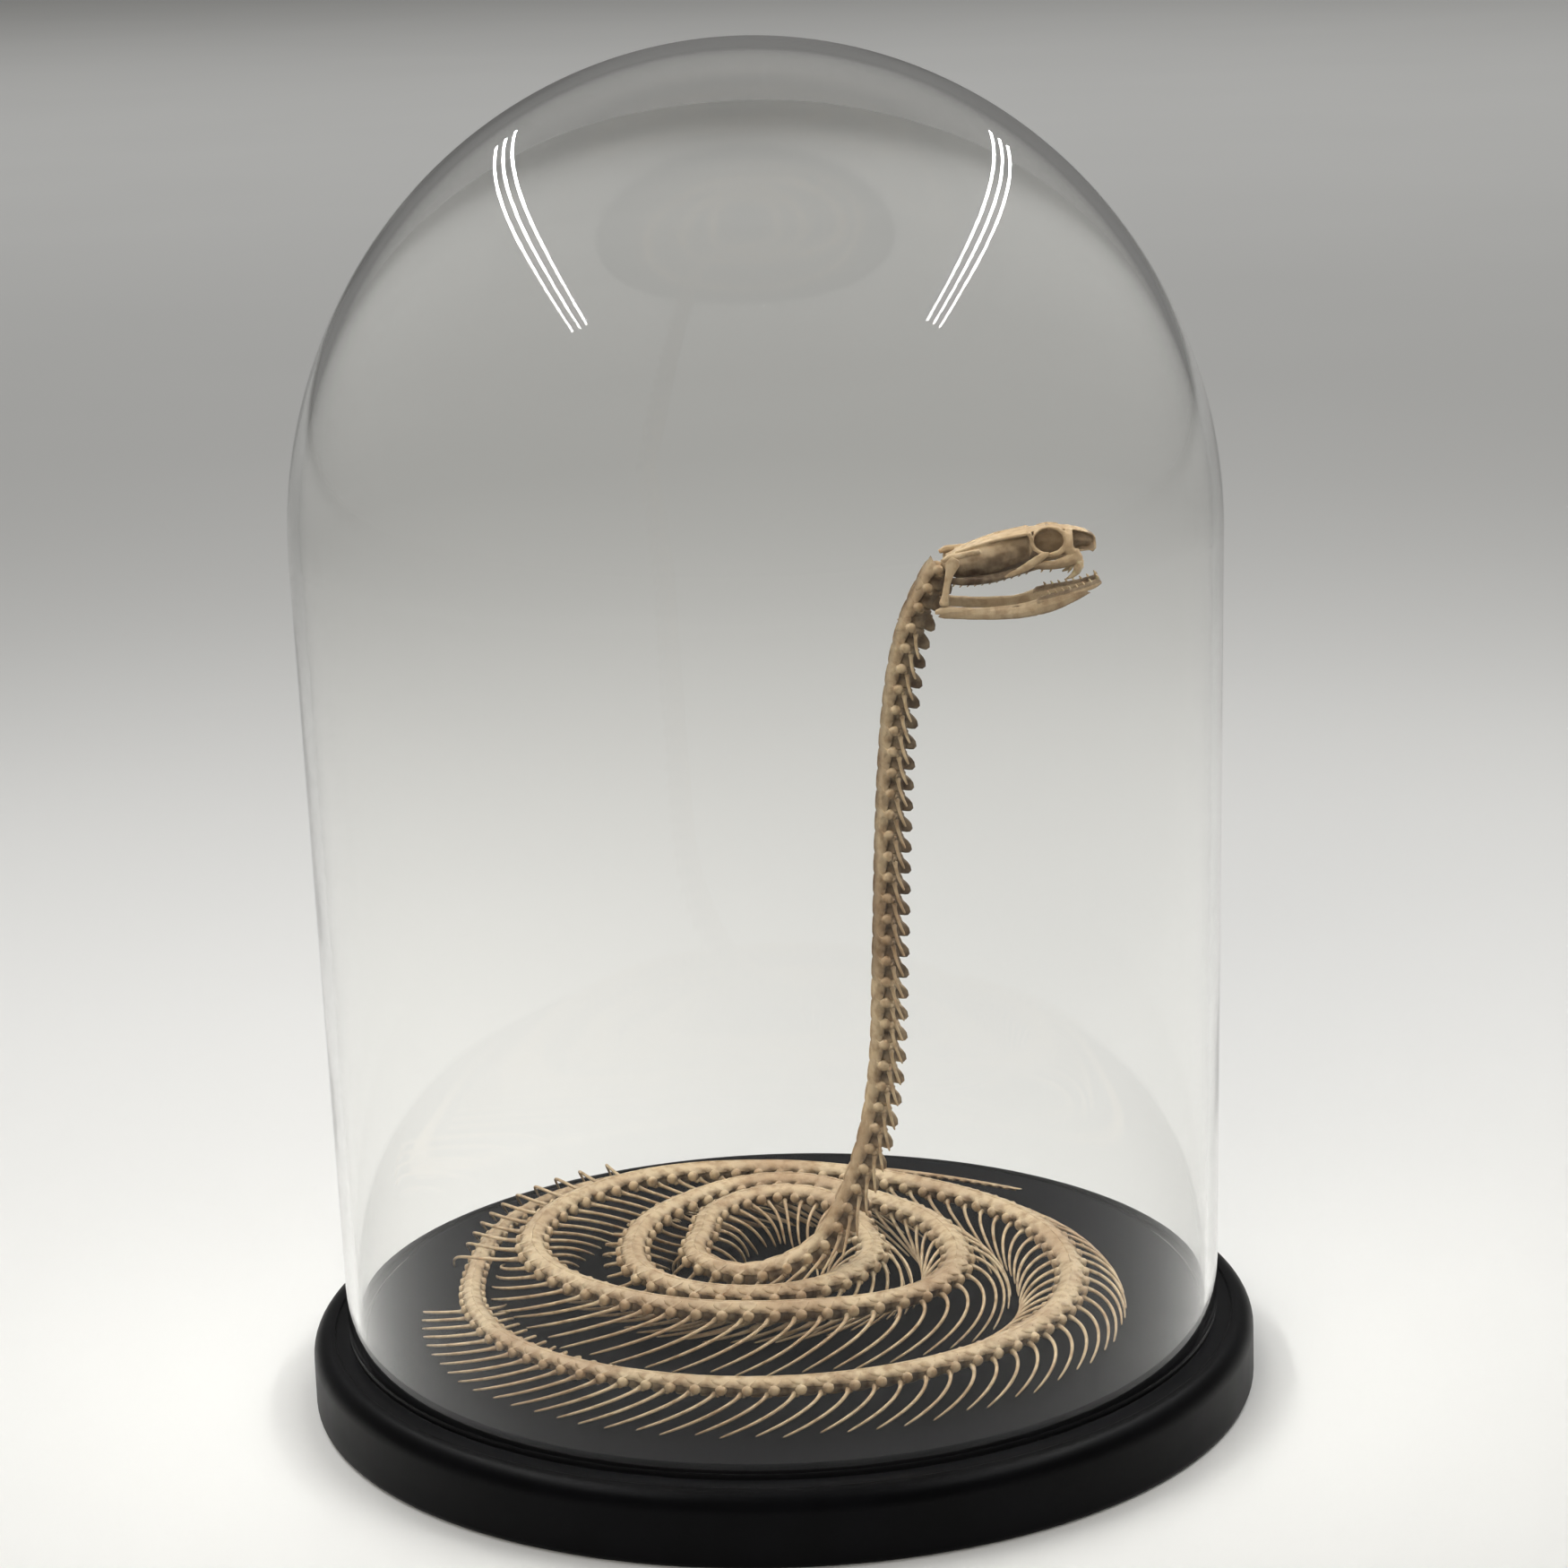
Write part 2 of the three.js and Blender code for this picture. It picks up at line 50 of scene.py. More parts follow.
# ---- Base, disc and dome ----
GAP = 0.3
BASE_RADIUS = 124.5
LEDGE_HEIGHT = 18.3
LIP_HEIGHT = 18.9
LIP_INNER_RADIUS = 118.7
BASE_ROUNDING = 5
BASE_FOOT_ROUNDING = 2
BASE_FOOT_INSET = 2.5
LIP_ROUNDING = 0.25
LEDGE_CORNER_RISE = 0.05
LEDGE_CORNER_INSET = 0.1
DISC_RADIUS = 110.7
DISC_TOP = 21.6
DISC_ROUNDING = 0.8
DISC_CHAMFER = 0.3
DOME_FOOT_RADIUS = 115
DOME_SHOULDER_RADIUS = 118.1
DOME_SHOULDER_HEIGHT = 227.6
DOME_TOP = 351.3
DOME_STEPS = 56
DOME_FOOT_ROUNDING = 1
DOME_FOOT_STEPS = 8
GLASS_THICKNESS = 3
TURNED_STEPS = 144
SEAM_MERGE = 1e-4

# ---- Coil of the body: radius at every 45 degrees, clockwise from above, head to tail ----
COIL_CENTRE = (0, 12)
KNOT_STEP = 45
TURN_RADII = [
    36.1, 33.3, 29.6, 20.8, 24.8, 31, 25.6, 21.5, 32.4, 43.5, 45.3, 38.7, 37.6, 42, 36, 43, 56.4,
    53.5, 57.6, 66.9, 65.1, 55.4, 56, 71.9, 90.2, 95.4, 92, 82, 85, 77.6, 83.2, 112, 144,
]
COIL_START = 15
COIL_LEAD = 35
TAIL_START = 1150
COIL_END = 1312
SPINE_HEIGHTS = [
    (0, 12.6), (360, 12.1), (720, 11.4), (900, 10.6), (990, 9), (1100, 8.4), (1145, 7), (1160, 5.8),
    (1215, 4.4), (1312, 3.2),
]

# ---- Neck: spine centre from the atlas down to the coil ----
NECK_POINTS = [
    (45.6, -14, 219.3), (41.5, -14, 212), (37.6, -14, 202.5), (34.6, -14, 188), (32.6, -14, 169),
    (31.1, -14, 145), (29.9, -14, 118), (28.4, -14, 90), (24.9, -14.5, 70), (18.4, -15.8, 52.8),
    (9.4, -18.6, 40.4),
]
NECK_STEPS = 12

# ---- Vertebrae and ribs along the spine: tables of (share of the spine's length, value) ----
VERTEBRA_LENGTHS = [(0, 5.3), (0.12, 5.8), (0.3, 6.5), (0.75, 6.4), (0.86, 5.4), (1, 3.3)]
VERTEBRA_SIZES = [(0, 0.86), (0.12, 0.92), (0.28, 1), (0.7, 1), (0.86, 0.74), (0.95, 0.38), (1, 0.16)]
RIB_LENGTHS = [
    (0, 7), (0.13, 13), (0.18, 19), (0.3, 26), (0.48, 30), (0.58, 29), (0.64, 24), (0.72, 22), (0.8, 24),
    (0.84, 22),
]
CREST_HEIGHTS = [(0, 4.8), (0.12, 4.8), (0.17, 3.3), (1, 3.3)]
KEEL_DEPTHS = [(0, 6.6), (0.11, 6), (0.16, 2.6), (1, 2.4)]
HALF_WIDTH = 3.9
LAST_BONE_ROOM = 3

# ---- Ribs: where one leaves its vertebra, how far it stands out, and how it bends back and down ----
RIB_RADIUS = 0.55
RIB_ROOT = 0.3
RIB_WAIST = 0.72
RIB_MIDDLE = 0.6
RIB_SPREAD = 0.6
RIB_CLEARANCE = 0.9
RIB_HEAD_DROP = 0.6
RIB_BEND = 1.6
LEAST_STAND_OUT = 1
LEAST_SWEEP = 5
SHORT_RIB = 4
LONG_RIB = 12
SHORT_RIB_FALL = 1.05
FALL_GROWTH = 0.75
TAIL_CLEARANCE = 5
INNERMOST_REACH = 0.6
ARCH_START = 800
ARCH_END = 864
ARCH_OVERHANG = 6
ARCH_FALL = 4
NECK_RIB_REACH = 1.9
NECK_RIB_OPENING = 0.06
NECK_RIB_SWEEP = 0.8
NECK_RIB_PAST_END = 2
NECK_RIB_HEAD_DROP = 1.3
NECK_RIB_DROOP = 0.12
NECK_RIB_CURL = 0.18
FIRST_RIB = 3

# ---- Lengths that the spine is split into, by share of its length or by angle ----
NECK_UPPER_SHARE = 0.075
TRUNK_LENGTHS = 13
TRUNK_TURN = 90
TAIL_FRONT_END = 1225
TAIL_MIDDLE_END = 1272

# Half thickness of a rib along its length, where its rings are, and how much of its tip is worn away at most.
RIB_PROFILE = [(0, 1.0), (0.05, 0.92), (0.12, 0.64), (0.24, 0.56), (0.5, 0.53), (0.8, 0.46), (1, 0.3)]
RIB_STOPS = [0, 0.05, 0.12, 0.22, 0.35, 0.49, 0.63, 0.77, 0.9, 1]
RIB_SIDES = 6
RIB_TANGENT_STEP = 0.02
RIB_UNEVENNESS = 0.08
WEAR_SEED = 7

# Skull frame: origin at the occipital condyle, x forward, y to the animal's left, z up.
SKULL_ORIGIN = (46.5, -14, 220.5)
BONE_VOXEL = 0.26
TOOTH_FINISH = 1


# ---- Small maths ----
def table_value(table, position):
    """Value of a table of (position, value) rows, straight between the rows."""
    if position <= table[0][0]:
        return table[0][1]
    for (x0, y0), (x1, y1) in zip(table, table[1:]):
        if position <= x1:
            return y0 + (y1 - y0) * (position - x0) / (x1 - x0)
    return table[-1][1]


def catmull_rom(a, b, c, d, u):
    """Smooth value between b and c, with a before them and d after."""
    return b + 0.5 * u * (c - a + u * (2 * a - 5 * b + 4 * c - d + u * (3 * (b - c) + d - a)))


def clamp(value, low, high):
    return max(low, min(high, value))


# ---- The spine's path ----
def coil_radius(angle):
    """Distance of the spine from the coil's centre."""
    knot = int(angle // KNOT_STEP)
    return catmull_rom(*TURN_RADII[knot : knot + 4], angle / KNOT_STEP - knot)


def coil_point(angle):
    """Angle 0 is the front (-Y), 90 the left (-X), 180 the back."""
    radius = coil_radius(angle)
    turn = math.radians(angle)
    return Vector((
        COIL_CENTRE[0] - radius * math.sin(turn),
        COIL_CENTRE[1] - radius * math.cos(turn),
        DISC_TOP + table_value(SPINE_HEIGHTS, angle),
    ))


def square_to(direction, along):
    """The part of direction that is square to along, as a unit vector."""
    return (direction - along * direction.dot(along)).normalized()


class Spine:
    """One path from the atlas to the tail tip, with its own directions at every sample."""

    def __init__(self):
        neck = [Vector(point) for point in NECK_POINTS]
        knots = [neck[0], *neck, coil_point(COIL_START), coil_point(COIL_START + COIL_LEAD)]
        self.points = []
        self.angles = []
        for i in range(1, len(knots) - 2):
            for step in range(NECK_STEPS):
                point = [catmull_rom(*row, step / NECK_STEPS) for row in zip(*knots[i - 1 : i + 3])]
                self.points.append(Vector(point))
                self.angles.append(-1)
        for angle in range(COIL_START, COIL_END + 1):
            self.points.append(coil_point(angle))
            self.angles.append(angle)
        self.dorsal = []
        self.right = []
        self.distances = []
        carried = Vector((0, 0, 1))
        last = len(self.points) - 1
        for i, point in enumerate(self.points):
            tailward = (self.points[min(i + 1, last)] - self.points[max(i - 1, 0)]).normalized()
            carried = square_to(carried, tailward)
            if self.angles[i] > 0:
                carried = Vector((0, 0, 1))
            dorsal = square_to(carried, tailward)
            self.dorsal.append(dorsal)
            self.right.append(dorsal.cross(tailward).normalized())
            self.distances.append(self.distances[-1] + (point - self.points[i - 1]).length if i else 0)
        self.length = self.distances[-1]
        self.neck_length = self.distances[next(i for i, angle in enumerate(self.angles) if angle > 0)]

    def between(self, distance):
        """The sample before a distance along the spine, and the share of the way to the next one."""
        distance = clamp(distance, 0, self.length - 1e-6)
        low = bisect.bisect_right(self.distances, distance) - 1
        span = self.distances[low + 1] - self.distances[low]
        return low, (distance - self.distances[low]) / span

    def at(self, distance, right=0, up=0):
        """Point at a distance along the spine, moved to the right and up in the spine's own directions."""
        low, u = self.between(distance)
        point = self.points[low].lerp(self.points[low + 1], u)
        point += self.right[low].lerp(self.right[low + 1], u) * right
        point += self.dorsal[low].lerp(self.dorsal[low + 1], u) * up
        return point

    def angle(self, distance):
        low, u = self.between(distance)
        return self.angles[low] + (self.angles[low + 1] - self.angles[low]) * u

    def up(self, distance):
        return self.dorsal[self.between(distance)[0]].copy()


SPINE = Spine()


def vertebrae():
    """Every vertebra as a dict: its start, length, share of the way along, angle, size and index."""
    listed = []
    start = 0
    while start < SPINE.length - LAST_BONE_ROOM:
        share = start / SPINE.length
        length = table_value(VERTEBRA_LENGTHS, share)
        listed.append({
            "start": start, "length": length, "share": share, "angle": SPINE.angle(start),
            "size": table_value(VERTEBRA_SIZES, share), "index": len(listed),
        })
        start += length
    return listed


def outer_gap(angle):
    """Distance to the turn outside this one."""
    return coil_radius(angle + 360) - coil_radius(angle)


def free_reach(angle, side):
    """How far a rib may stand out sideways before it meets the ribs of the next turn, or the low tail."""
    if side < 0 and angle < 360:
        return coil_radius(angle) * INNERMOST_REACH
    if side < 0:
        return outer_gap(angle - 360) / 2 - RIB_CLEARANCE
    if angle + 360 > COIL_END:
        return math.inf
    if angle + 360 > TAIL_START:
        return outer_gap(angle) - TAIL_CLEARANCE
    return outer_gap(angle) / 2 - RIB_CLEARANCE


def rib_line(vertebra, side):
    """A rib as a rule that gives its centre line: u runs from 0 at the vertebra to 1 at the tip."""
    length = table_value(RIB_LENGTHS, vertebra["share"])
    root = vertebra["start"] + RIB_ROOT * vertebra["length"]
    waist = HALF_WIDTH * vertebra["size"] * RIB_WAIST
    angle = vertebra["angle"]
    if angle < COIL_START:
        sweep = min(length * NECK_RIB_SWEEP, SPINE.neck_length - root + NECK_RIB_PAST_END)
        reach = NECK_RIB_REACH + length * NECK_RIB_OPENING
        return lambda u: SPINE.at(
            root + sweep * u,
            side * (waist + reach * math.sqrt(max(u, 0))),
            -NECK_RIB_HEAD_DROP - length * u * (NECK_RIB_DROOP + NECK_RIB_CURL * u),
        )
    drop = SPINE.at(root).z - DISC_TOP - RIB_RADIUS - GAP
    tip_angle = SPINE.angle(root + RIB_MIDDLE * length)
    if side > 0 and ARCH_START < angle < ARCH_END:
        reach = max(outer_gap(angle), outer_gap(tip_angle)) + ARCH_OVERHANG
        fall = ARCH_FALL
    else:
        wanted = min(length * RIB_SPREAD, free_reach(angle, side), free_reach(tip_angle, side))
        reach = max(wanted, waist + LEAST_STAND_OUT)
        fall = SHORT_RIB_FALL + FALL_GROWTH * clamp((reach - SHORT_RIB) / (LONG_RIB - SHORT_RIB), 0, 1)
    sweep = math.sqrt(max(length**2 - reach**2 - drop**2, LEAST_SWEEP**2))

    def line(u):
        u = max(u, 0)
        out = waist + (reach - waist) * math.sin(u * math.pi / 2)
        lowered = RIB_HEAD_DROP + (drop - RIB_HEAD_DROP) * u**fall
        return SPINE.at(root + sweep * u**RIB_BEND, side * out, -lowered)

    return line


# ---- Mesh tools ----
def section(point, along, up, width, height):
    """Placement of a unit circle: its normal on along, its Y on up, scaled to half width and half height."""
    along = Vector(along).normalized()
    up = square_to(Vector(up), along)
    turn = Matrix((up.cross(along), up, along)).transposed()
    return Matrix.Translation(point) @ turn.to_4x4() @ Matrix.Diagonal((width, height, 1, 1))


def bar(places, sides=6):
    """Closed bar: a capped circle carried by extrusion from placement to placement."""
    bm = bmesh.new()
    bmesh.ops.create_circle(bm, cap_ends=True, segments=sides, radius=1, matrix=places[0])
    bm.faces.ensure_lookup_table()
    cap = bm.faces[0]
    for i, (before, after) in enumerate(zip(places, places[1:])):
        grown = bmesh.ops.extrude_face_region(bm, geom=[cap], use_keep_orig=True)["geom"]
        if i > 0:
            bmesh.ops.delete(bm, geom=[cap], context="FACES_ONLY")
        ring = [item for item in grown if isinstance(item, bmesh.types.BMVert)]
        cap = next(item for item in grown if isinstance(item, bmesh.types.BMFace))
        bmesh.ops.transform(bm, matrix=after @ before.inverted(), verts=ring)
    bmesh.ops.recalc_face_normals(bm, faces=bm.faces)
    return bm


def swept(stations, up=(0, 0, 1), sides=8):
    """Closed bar through stations of (x, y, z, half width, half height), its height kept toward up."""
    points = [Vector(row[:3]) for row in stations]
    places = []
    for i, row in enumerate(stations):
        along = points[min(i + 1, len(points) - 1)] - points[max(i - 1, 0)]
        places.append(section(points[i], along, up, row[3], row[4]))
    return bar(places, sides)


def mirrored(stations, side):
    """Stations of the left side as they are, or moved to the right when side is -1."""
    return [(row[0], side * row[1], *row[2:]) for row in stations]


def gather(target, source, move=None, finish=0):
    """Moves a part's mesh into target: each vertex through the rule move, its faces on the slot finish."""
    mesh = source
    if isinstance(source, bmesh.types.BMesh):
        mesh = bpy.data.meshes.new("part")
        source.to_mesh(mesh)
        source.free()
    first_vert = len(target.verts)
    first_face = len(target.faces)
    target.from_mesh(mesh)
    target.verts.ensure_lookup_table()
    target.faces.ensure_lookup_table()
    if move:
        for vert in target.verts[first_vert:]:
            vert.co = move(vert.co)
    for face in target.faces[first_face:]:
        face.material_index = finish
    if mesh is not source:
        bpy.data.meshes.remove(mesh)


def as_template(bm, name):
    """Keeps a finished part as mesh data, for a shape that is placed many times."""
    mesh = bpy.data.meshes.new(name)
    bm.to_mesh(mesh)
    bm.free()
    return mesh


def grown_together(bm, voxel):
    """One skin round all the overlapping bars in bm, as bone grows, slightly smoothed."""
    mesh = bpy.data.meshes.new("parts")
    bm.to_mesh(mesh)
    holder = bpy.data.objects.new("parts", mesh)
    bpy.context.collection.objects.link(holder)
    skin = holder.modifiers.new("skin", "REMESH")
    skin.mode = "VOXEL"
    skin.voxel_size = voxel
    finished = bpy.data.meshes.new_from_object(holder.evaluated_get(bpy.context.evaluated_depsgraph_get()))
    bm.clear()
    bm.from_mesh(finished)
    bmesh.ops.smooth_vert(bm, verts=bm.verts, factor=0.5, use_axis_x=True, use_axis_y=True, use_axis_z=True)
    bpy.data.objects.remove(holder)
    bpy.data.meshes.remove(mesh)
    bpy.data.meshes.remove(finished)


def finish_piece(name, bm, node, materials, rounding=0):
    """Brings a mesh to metres and makes it a smooth-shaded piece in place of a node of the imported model."""
    bmesh.ops.scale(bm, vec=(MM, MM, MM), verts=bm.verts)
    bm.normal_update()
    mesh = bpy.data.meshes.new(name)
    bm.to_mesh(mesh)
    bm.free()
    mesh.shade_smooth()
    for material in materials:
        mesh.materials.append(material)
    piece = bpy.data.objects.new(name, mesh)
    bpy.context.collection.objects.link(piece)
    if rounding:
        smoother = piece.modifiers.new("rounding", "SUBSURF")
        smoother.levels = rounding
        smoother.render_levels = rounding
    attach(piece, "root")
    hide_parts(node)


def set_stain_and_shade(bm, rule):
    """Writes how brown each vertex is, 0 clean to 1 brown, by a rule of its place: partly stain, partly
    painted shade.
    """
    layer = bm.verts.layers.float.get("stain_and_shade") or bm.verts.layers.float.new("stain_and_shade")
    for vert in bm.verts:
        vert[layer] = rule(vert.co)


# ---- Materials: sizes of their patterns in mm. Pores are really near 0.1 mm, too fine to show, so they are
# drawn coarser; the stipple of the paint and the peel of the lacquer are true size. ----
BONE_PATCHES = 22
BONE_MOTTLE = 2.6
BONE_PORES = 0.45
ENAMEL_BANDS = 1.1
LACQUER_PEEL = 1.4
LACQUER_DUST = 18
PAINT_STIPPLE = 0.8
PAINT_CLOUDS = 40
GLASS_WAVES = 55
PAPER_TONES = 400


def colour(code):
    """Linear colour from an sRGB hex code."""
    levels = [int(code[i : i + 2], 16) / 255 for i in (1, 3, 5)]
    return (*[v / 12.92 if v <= 0.04045 else ((v + 0.055) / 1.055) ** 2.4 for v in levels], 1)


def add_node(tree, kind, values=None, links=None, **settings):
    """Adds one node: its own properties are settings, its inputs' numbers values, their sources links."""
    node = tree.nodes.new(kind)
    for name, value in settings.items():
        setattr(node, name, value)
    for name, value in (values or {}).items():
        node.inputs[name].default_value = value
    for name, source in (links or {}).items():
        tree.links.new(source, node.inputs[name])
    return node


def new_material(name):
    """An empty material and its node tree."""
    material = bpy.data.materials.new(name)
    material.use_nodes = True
    material.node_tree.nodes.clear()
    return material, material.node_tree


def per_mm(size):
    """Scale of a noise pattern whose features are about size millimetres across."""
    return 1 / (size * MM)


def bone_material(name, pale, tan, ochre, brown):
    """Dry cleaned bone: matt and slightly chalky, cream where it was handled and bleached, tan to ochre where
    fat has come out, brown in the hollows, partly stain and partly painted shade, with fine pores that break
    up the highlights."""
    material, tree = new_material(name)
    place = add_node(tree, "ShaderNodeTexCoord").outputs["Object"]
    patches = add_node(
        tree, "ShaderNodeTexNoise", {"Scale": per_mm(BONE_PATCHES), "Detail": 3}, {"Vector": place}
    )
    mottle = add_node(
        tree, "ShaderNodeTexNoise", {"Scale": per_mm(BONE_MOTTLE), "Detail": 4}, {"Vector": place}
    )
    pores = add_node(
        tree, "ShaderNodeTexNoise", {"Scale": per_mm(BONE_PORES), "Detail": 2}, {"Vector": place}
    )
    # The brown that each vertex carries: partly stain, partly painted shade in hollows and recesses.
    stain_and_shade = add_node(tree, "ShaderNodeAttribute", attribute_name="stain_and_shade")
    patch_share = add_node(
        tree, "ShaderNodeMapRange", {"From Min": 0.4, "From Max": 0.62}, {"Value": patches.outputs["Fac"]}
    )
    ground = add_node(
        tree, "ShaderNodeMix",
        {6: colour(pale), 7: colour(tan)}, {0: patch_share.outputs[0]}, data_type="RGBA",
    )
    mottle_share = add_node(
        tree, "ShaderNodeMapRange",
        {"From Min": 0.45, "From Max": 0.72, "To Max": 0.75}, {"Value": mottle.outputs["Fac"]},
    )
    aged = add_node(
        tree, "ShaderNodeMix",
        {7: colour(ochre)}, {0: mottle_share.outputs[0], 6: ground.outputs[2]}, data_type="RGBA",
    )
    uneven = add_node(
        tree, "ShaderNodeMapRange",
        {"From Min": 0.3, "From Max": 0.7, "To Min": 0.7, "To Max": 1},
        {"Value": mottle.outputs["Fac"]},
    )
    stained_and_shaded = add_node(
        tree, "ShaderNodeMath", links={0: stain_and_shade.outputs["Fac"], 1: uneven.outputs[0]}, operation="MULTIPLY",
        use_clamp=True,
    )
    surface = add_node(
        tree, "ShaderNodeMix",
        {7: colour(brown)}, {0: stained_and_shaded.outputs[0], 6: aged.outputs[2]}, data_type="RGBA",
    )
    roughness = add_node(
        tree, "ShaderNodeMapRange", {"To Min": 0.46, "To Max": 0.68}, {"Value": mottle.outputs["Fac"]}
    )
    relief = add_node(
        tree, "ShaderNodeBump", {"Strength": 0.35, "Distance": 0.12 * MM}, {"Height": pores.outputs["Fac"]}
    )
    shader = add_node(
        tree, "ShaderNodeBsdfPrincipled",
        {
            "IOR": 1.5, "Subsurface Weight": 0.12, "Subsurface Scale": 0.6 * MM,
            "Subsurface Radius": (1, 0.7, 0.4),
        },
        {
            "Base Color": surface.outputs[2], "Roughness": roughness.outputs[0],
            "Normal": relief.outputs["Normal"],
        },
    )
    add_node(tree, "ShaderNodeOutputMaterial", links={"Surface": shader.outputs[0]})
    return material


def tooth_material():
    """Dry tooth enamel: harder and glossier than bone, greyish ivory, with faint growth bands."""
    material, tree = new_material("dry tooth enamel")
    place = add_node(tree, "ShaderNodeTexCoord").outputs["Object"]
    bands = add_node(
        tree, "ShaderNodeTexNoise", {"Scale": per_mm(ENAMEL_BANDS), "Detail": 3}, {"Vector": place}
    )
    share = add_node(
        tree, "ShaderNodeMapRange", {"From Min": 0.35, "From Max": 0.7}, {"Value": bands.outputs["Fac"]}
    )
    tone = add_node(
        tree, "ShaderNodeMix",
        {6: colour("#c4b08c"), 7: colour("#957c57")}, {0: share.outputs[0]}, data_type="RGBA",
    )
    shader = add_node(
        tree, "ShaderNodeBsdfPrincipled",
        {"IOR": 1.62, "Roughness": 0.28, "Subsurface Weight": 0.2, "Subsurface Scale": 0.5 * MM},
        {"Base Color": tone.outputs[2]},
    )
    add_node(tree, "ShaderNodeOutputMaterial", links={"Surface": shader.outputs[0]})
    return material


def lacquer_material():
    """Satin black lacquer sprayed over turned wood: deep black with a weak, soft sheen and a faint orange
    peel, and a trace of dust that greys and dulls it in patches."""
    material, tree = new_material("satin black lacquer on turned wood")
    place = add_node(tree, "ShaderNodeTexCoord").outputs["Object"]
    peel = add_node(
        tree, "ShaderNodeTexNoise", {"Scale": per_mm(LACQUER_PEEL), "Detail": 2}, {"Vector": place}
    )
    dust = add_node(
        tree, "ShaderNodeTexNoise", {"Scale": per_mm(LACQUER_DUST), "Detail": 5}, {"Vector": place}
    )
    share = add_node(
        tree, "ShaderNodeMapRange",
        {"From Min": 0.42, "From Max": 0.7, "To Max": 0.6}, {"Value": dust.outputs["Fac"]},
    )
    tone = add_node(
        tree, "ShaderNodeMix",
        {6: colour("#030304"), 7: colour("#08080b")}, {0: share.outputs[0]}, data_type="RGBA",
    )
    roughness = add_node(
        tree, "ShaderNodeMapRange", {"To Min": 0.34, "To Max": 0.5}, {"Value": dust.outputs["Fac"]}
    )
    relief = add_node(
        tree, "ShaderNodeBump", {"Strength": 0.12, "Distance": 0.05 * MM}, {"Height": peel.outputs["Fac"]}
    )
    shader = add_node(
        tree, "ShaderNodeBsdfPrincipled",
        {"IOR": 1.5, "Specular IOR Level": 0.08},
        {
            "Base Color": tone.outputs[2], "Roughness": roughness.outputs[0],
            "Normal": relief.outputs["Normal"],
        },
    )
    add_node(tree, "ShaderNodeOutputMaterial", links={"Surface": shader.outputs[0]})
    return material


def disc_material():
    """Charcoal eggshell paint on a fibreboard disc: dark grey and almost without sheen, with fine roller
    stipple and slightly paler clouds of settled dust."""
    material, tree = new_material("charcoal eggshell paint")
    place = add_node(tree, "ShaderNodeTexCoord").outputs["Object"]
    stipple = add_node(
        tree, "ShaderNodeTexNoise", {"Scale": per_mm(PAINT_STIPPLE), "Detail": 2}, {"Vector": place}
    )
    cloud = add_node(
        tree, "ShaderNodeTexNoise", {"Scale": per_mm(PAINT_CLOUDS), "Detail": 4}, {"Vector": place}
    )
    tone = add_node(
        tree, "ShaderNodeMix",
        {6: colour("#101012"), 7: colour("#19191b")}, {0: cloud.outputs["Fac"]}, data_type="RGBA",
    )
    roughness = add_node(
        tree, "ShaderNodeMapRange", {"To Min": 0.55, "To Max": 0.75}, {"Value": cloud.outputs["Fac"]}
    )
    relief = add_node(
        tree, "ShaderNodeBump", {"Strength": 0.15, "Distance": 0.04 * MM}, {"Height": stipple.outputs["Fac"]}
    )
    shader = add_node(
        tree, "ShaderNodeBsdfPrincipled",
        {"IOR": 1.5, "Specular IOR Level": 0.02},
        {
            "Base Color": tone.outputs[2], "Roughness": roughness.outputs[0],
            "Normal": relief.outputs["Normal"],
        },
    )
    add_node(tree, "ShaderNodeOutputMaterial", links={"Surface": shader.outputs[0]})
    return material


def glass_material():
    """Blown soda-lime glass: clear and very smooth, with the slight waves that blowing leaves. Lamps shine
    straight through it, so that what stands inside is lit. Its mirror reflections are toned down by the
    specular tint, or the pale floor would lie as a veil over the dark disc."""
    material, tree = new_material("blown soda-lime glass")
    place = add_node(tree, "ShaderNodeTexCoord").outputs["Object"]
    waves = add_node(
        tree, "ShaderNodeTexNoise", {"Scale": per_mm(GLASS_WAVES), "Detail": 1}, {"Vector": place}
    )
    relief = add_node(
        tree, "ShaderNodeBump", {"Strength": 0.25, "Distance": 0.5 * MM}, {"Height": waves.outputs["Fac"]}
    )
    glass = add_node(
        tree, "ShaderNodeBsdfPrincipled",
        {
            "Base Color": colour("#fffffe"), "Transmission Weight": 1, "IOR": 1.5, "Roughness": 0,
            "Specular Tint": colour("#a0a0a0"),
        },
        {"Normal": relief.outputs["Normal"]},
    )
    clear = add_node(tree, "ShaderNodeBsdfTransparent", {"Color": colour("#f5f5f4")})
    path = add_node(tree, "ShaderNodeLightPath")
    mixed = add_node(
        tree, "ShaderNodeMixShader",
        links={0: path.outputs["Is Shadow Ray"], 1: glass.outputs[0], 2: clear.outputs[0]},
    )
    add_node(tree, "ShaderNodeOutputMaterial", links={"Surface": mixed.outputs[0]})
    return material


def floor_material():
    """Seamless studio paper: pale, matt, hardly any sheen, its tone hardly changing from place to place."""
    material, tree = new_material("pale studio paper")
    place = add_node(tree, "ShaderNodeTexCoord").outputs["Object"]
    tones = add_node(
        tree, "ShaderNodeTexNoise", {"Scale": per_mm(PAPER_TONES), "Detail": 2}, {"Vector": place}
    )
    tone = add_node(
        tree, "ShaderNodeMix",
        {6: colour("#e6e6e4"), 7: colour("#e1e1df")}, {0: tones.outputs["Fac"]}, data_type="RGBA",
    )
    shader = add_node(
        tree, "ShaderNodeBsdfPrincipled", {"IOR": 1.45, "Roughness": 0.8}, {"Base Color": tone.outputs[2]}
    )
    add_node(tree, "ShaderNodeOutputMaterial", links={"Surface": shader.outputs[0]})
    return material
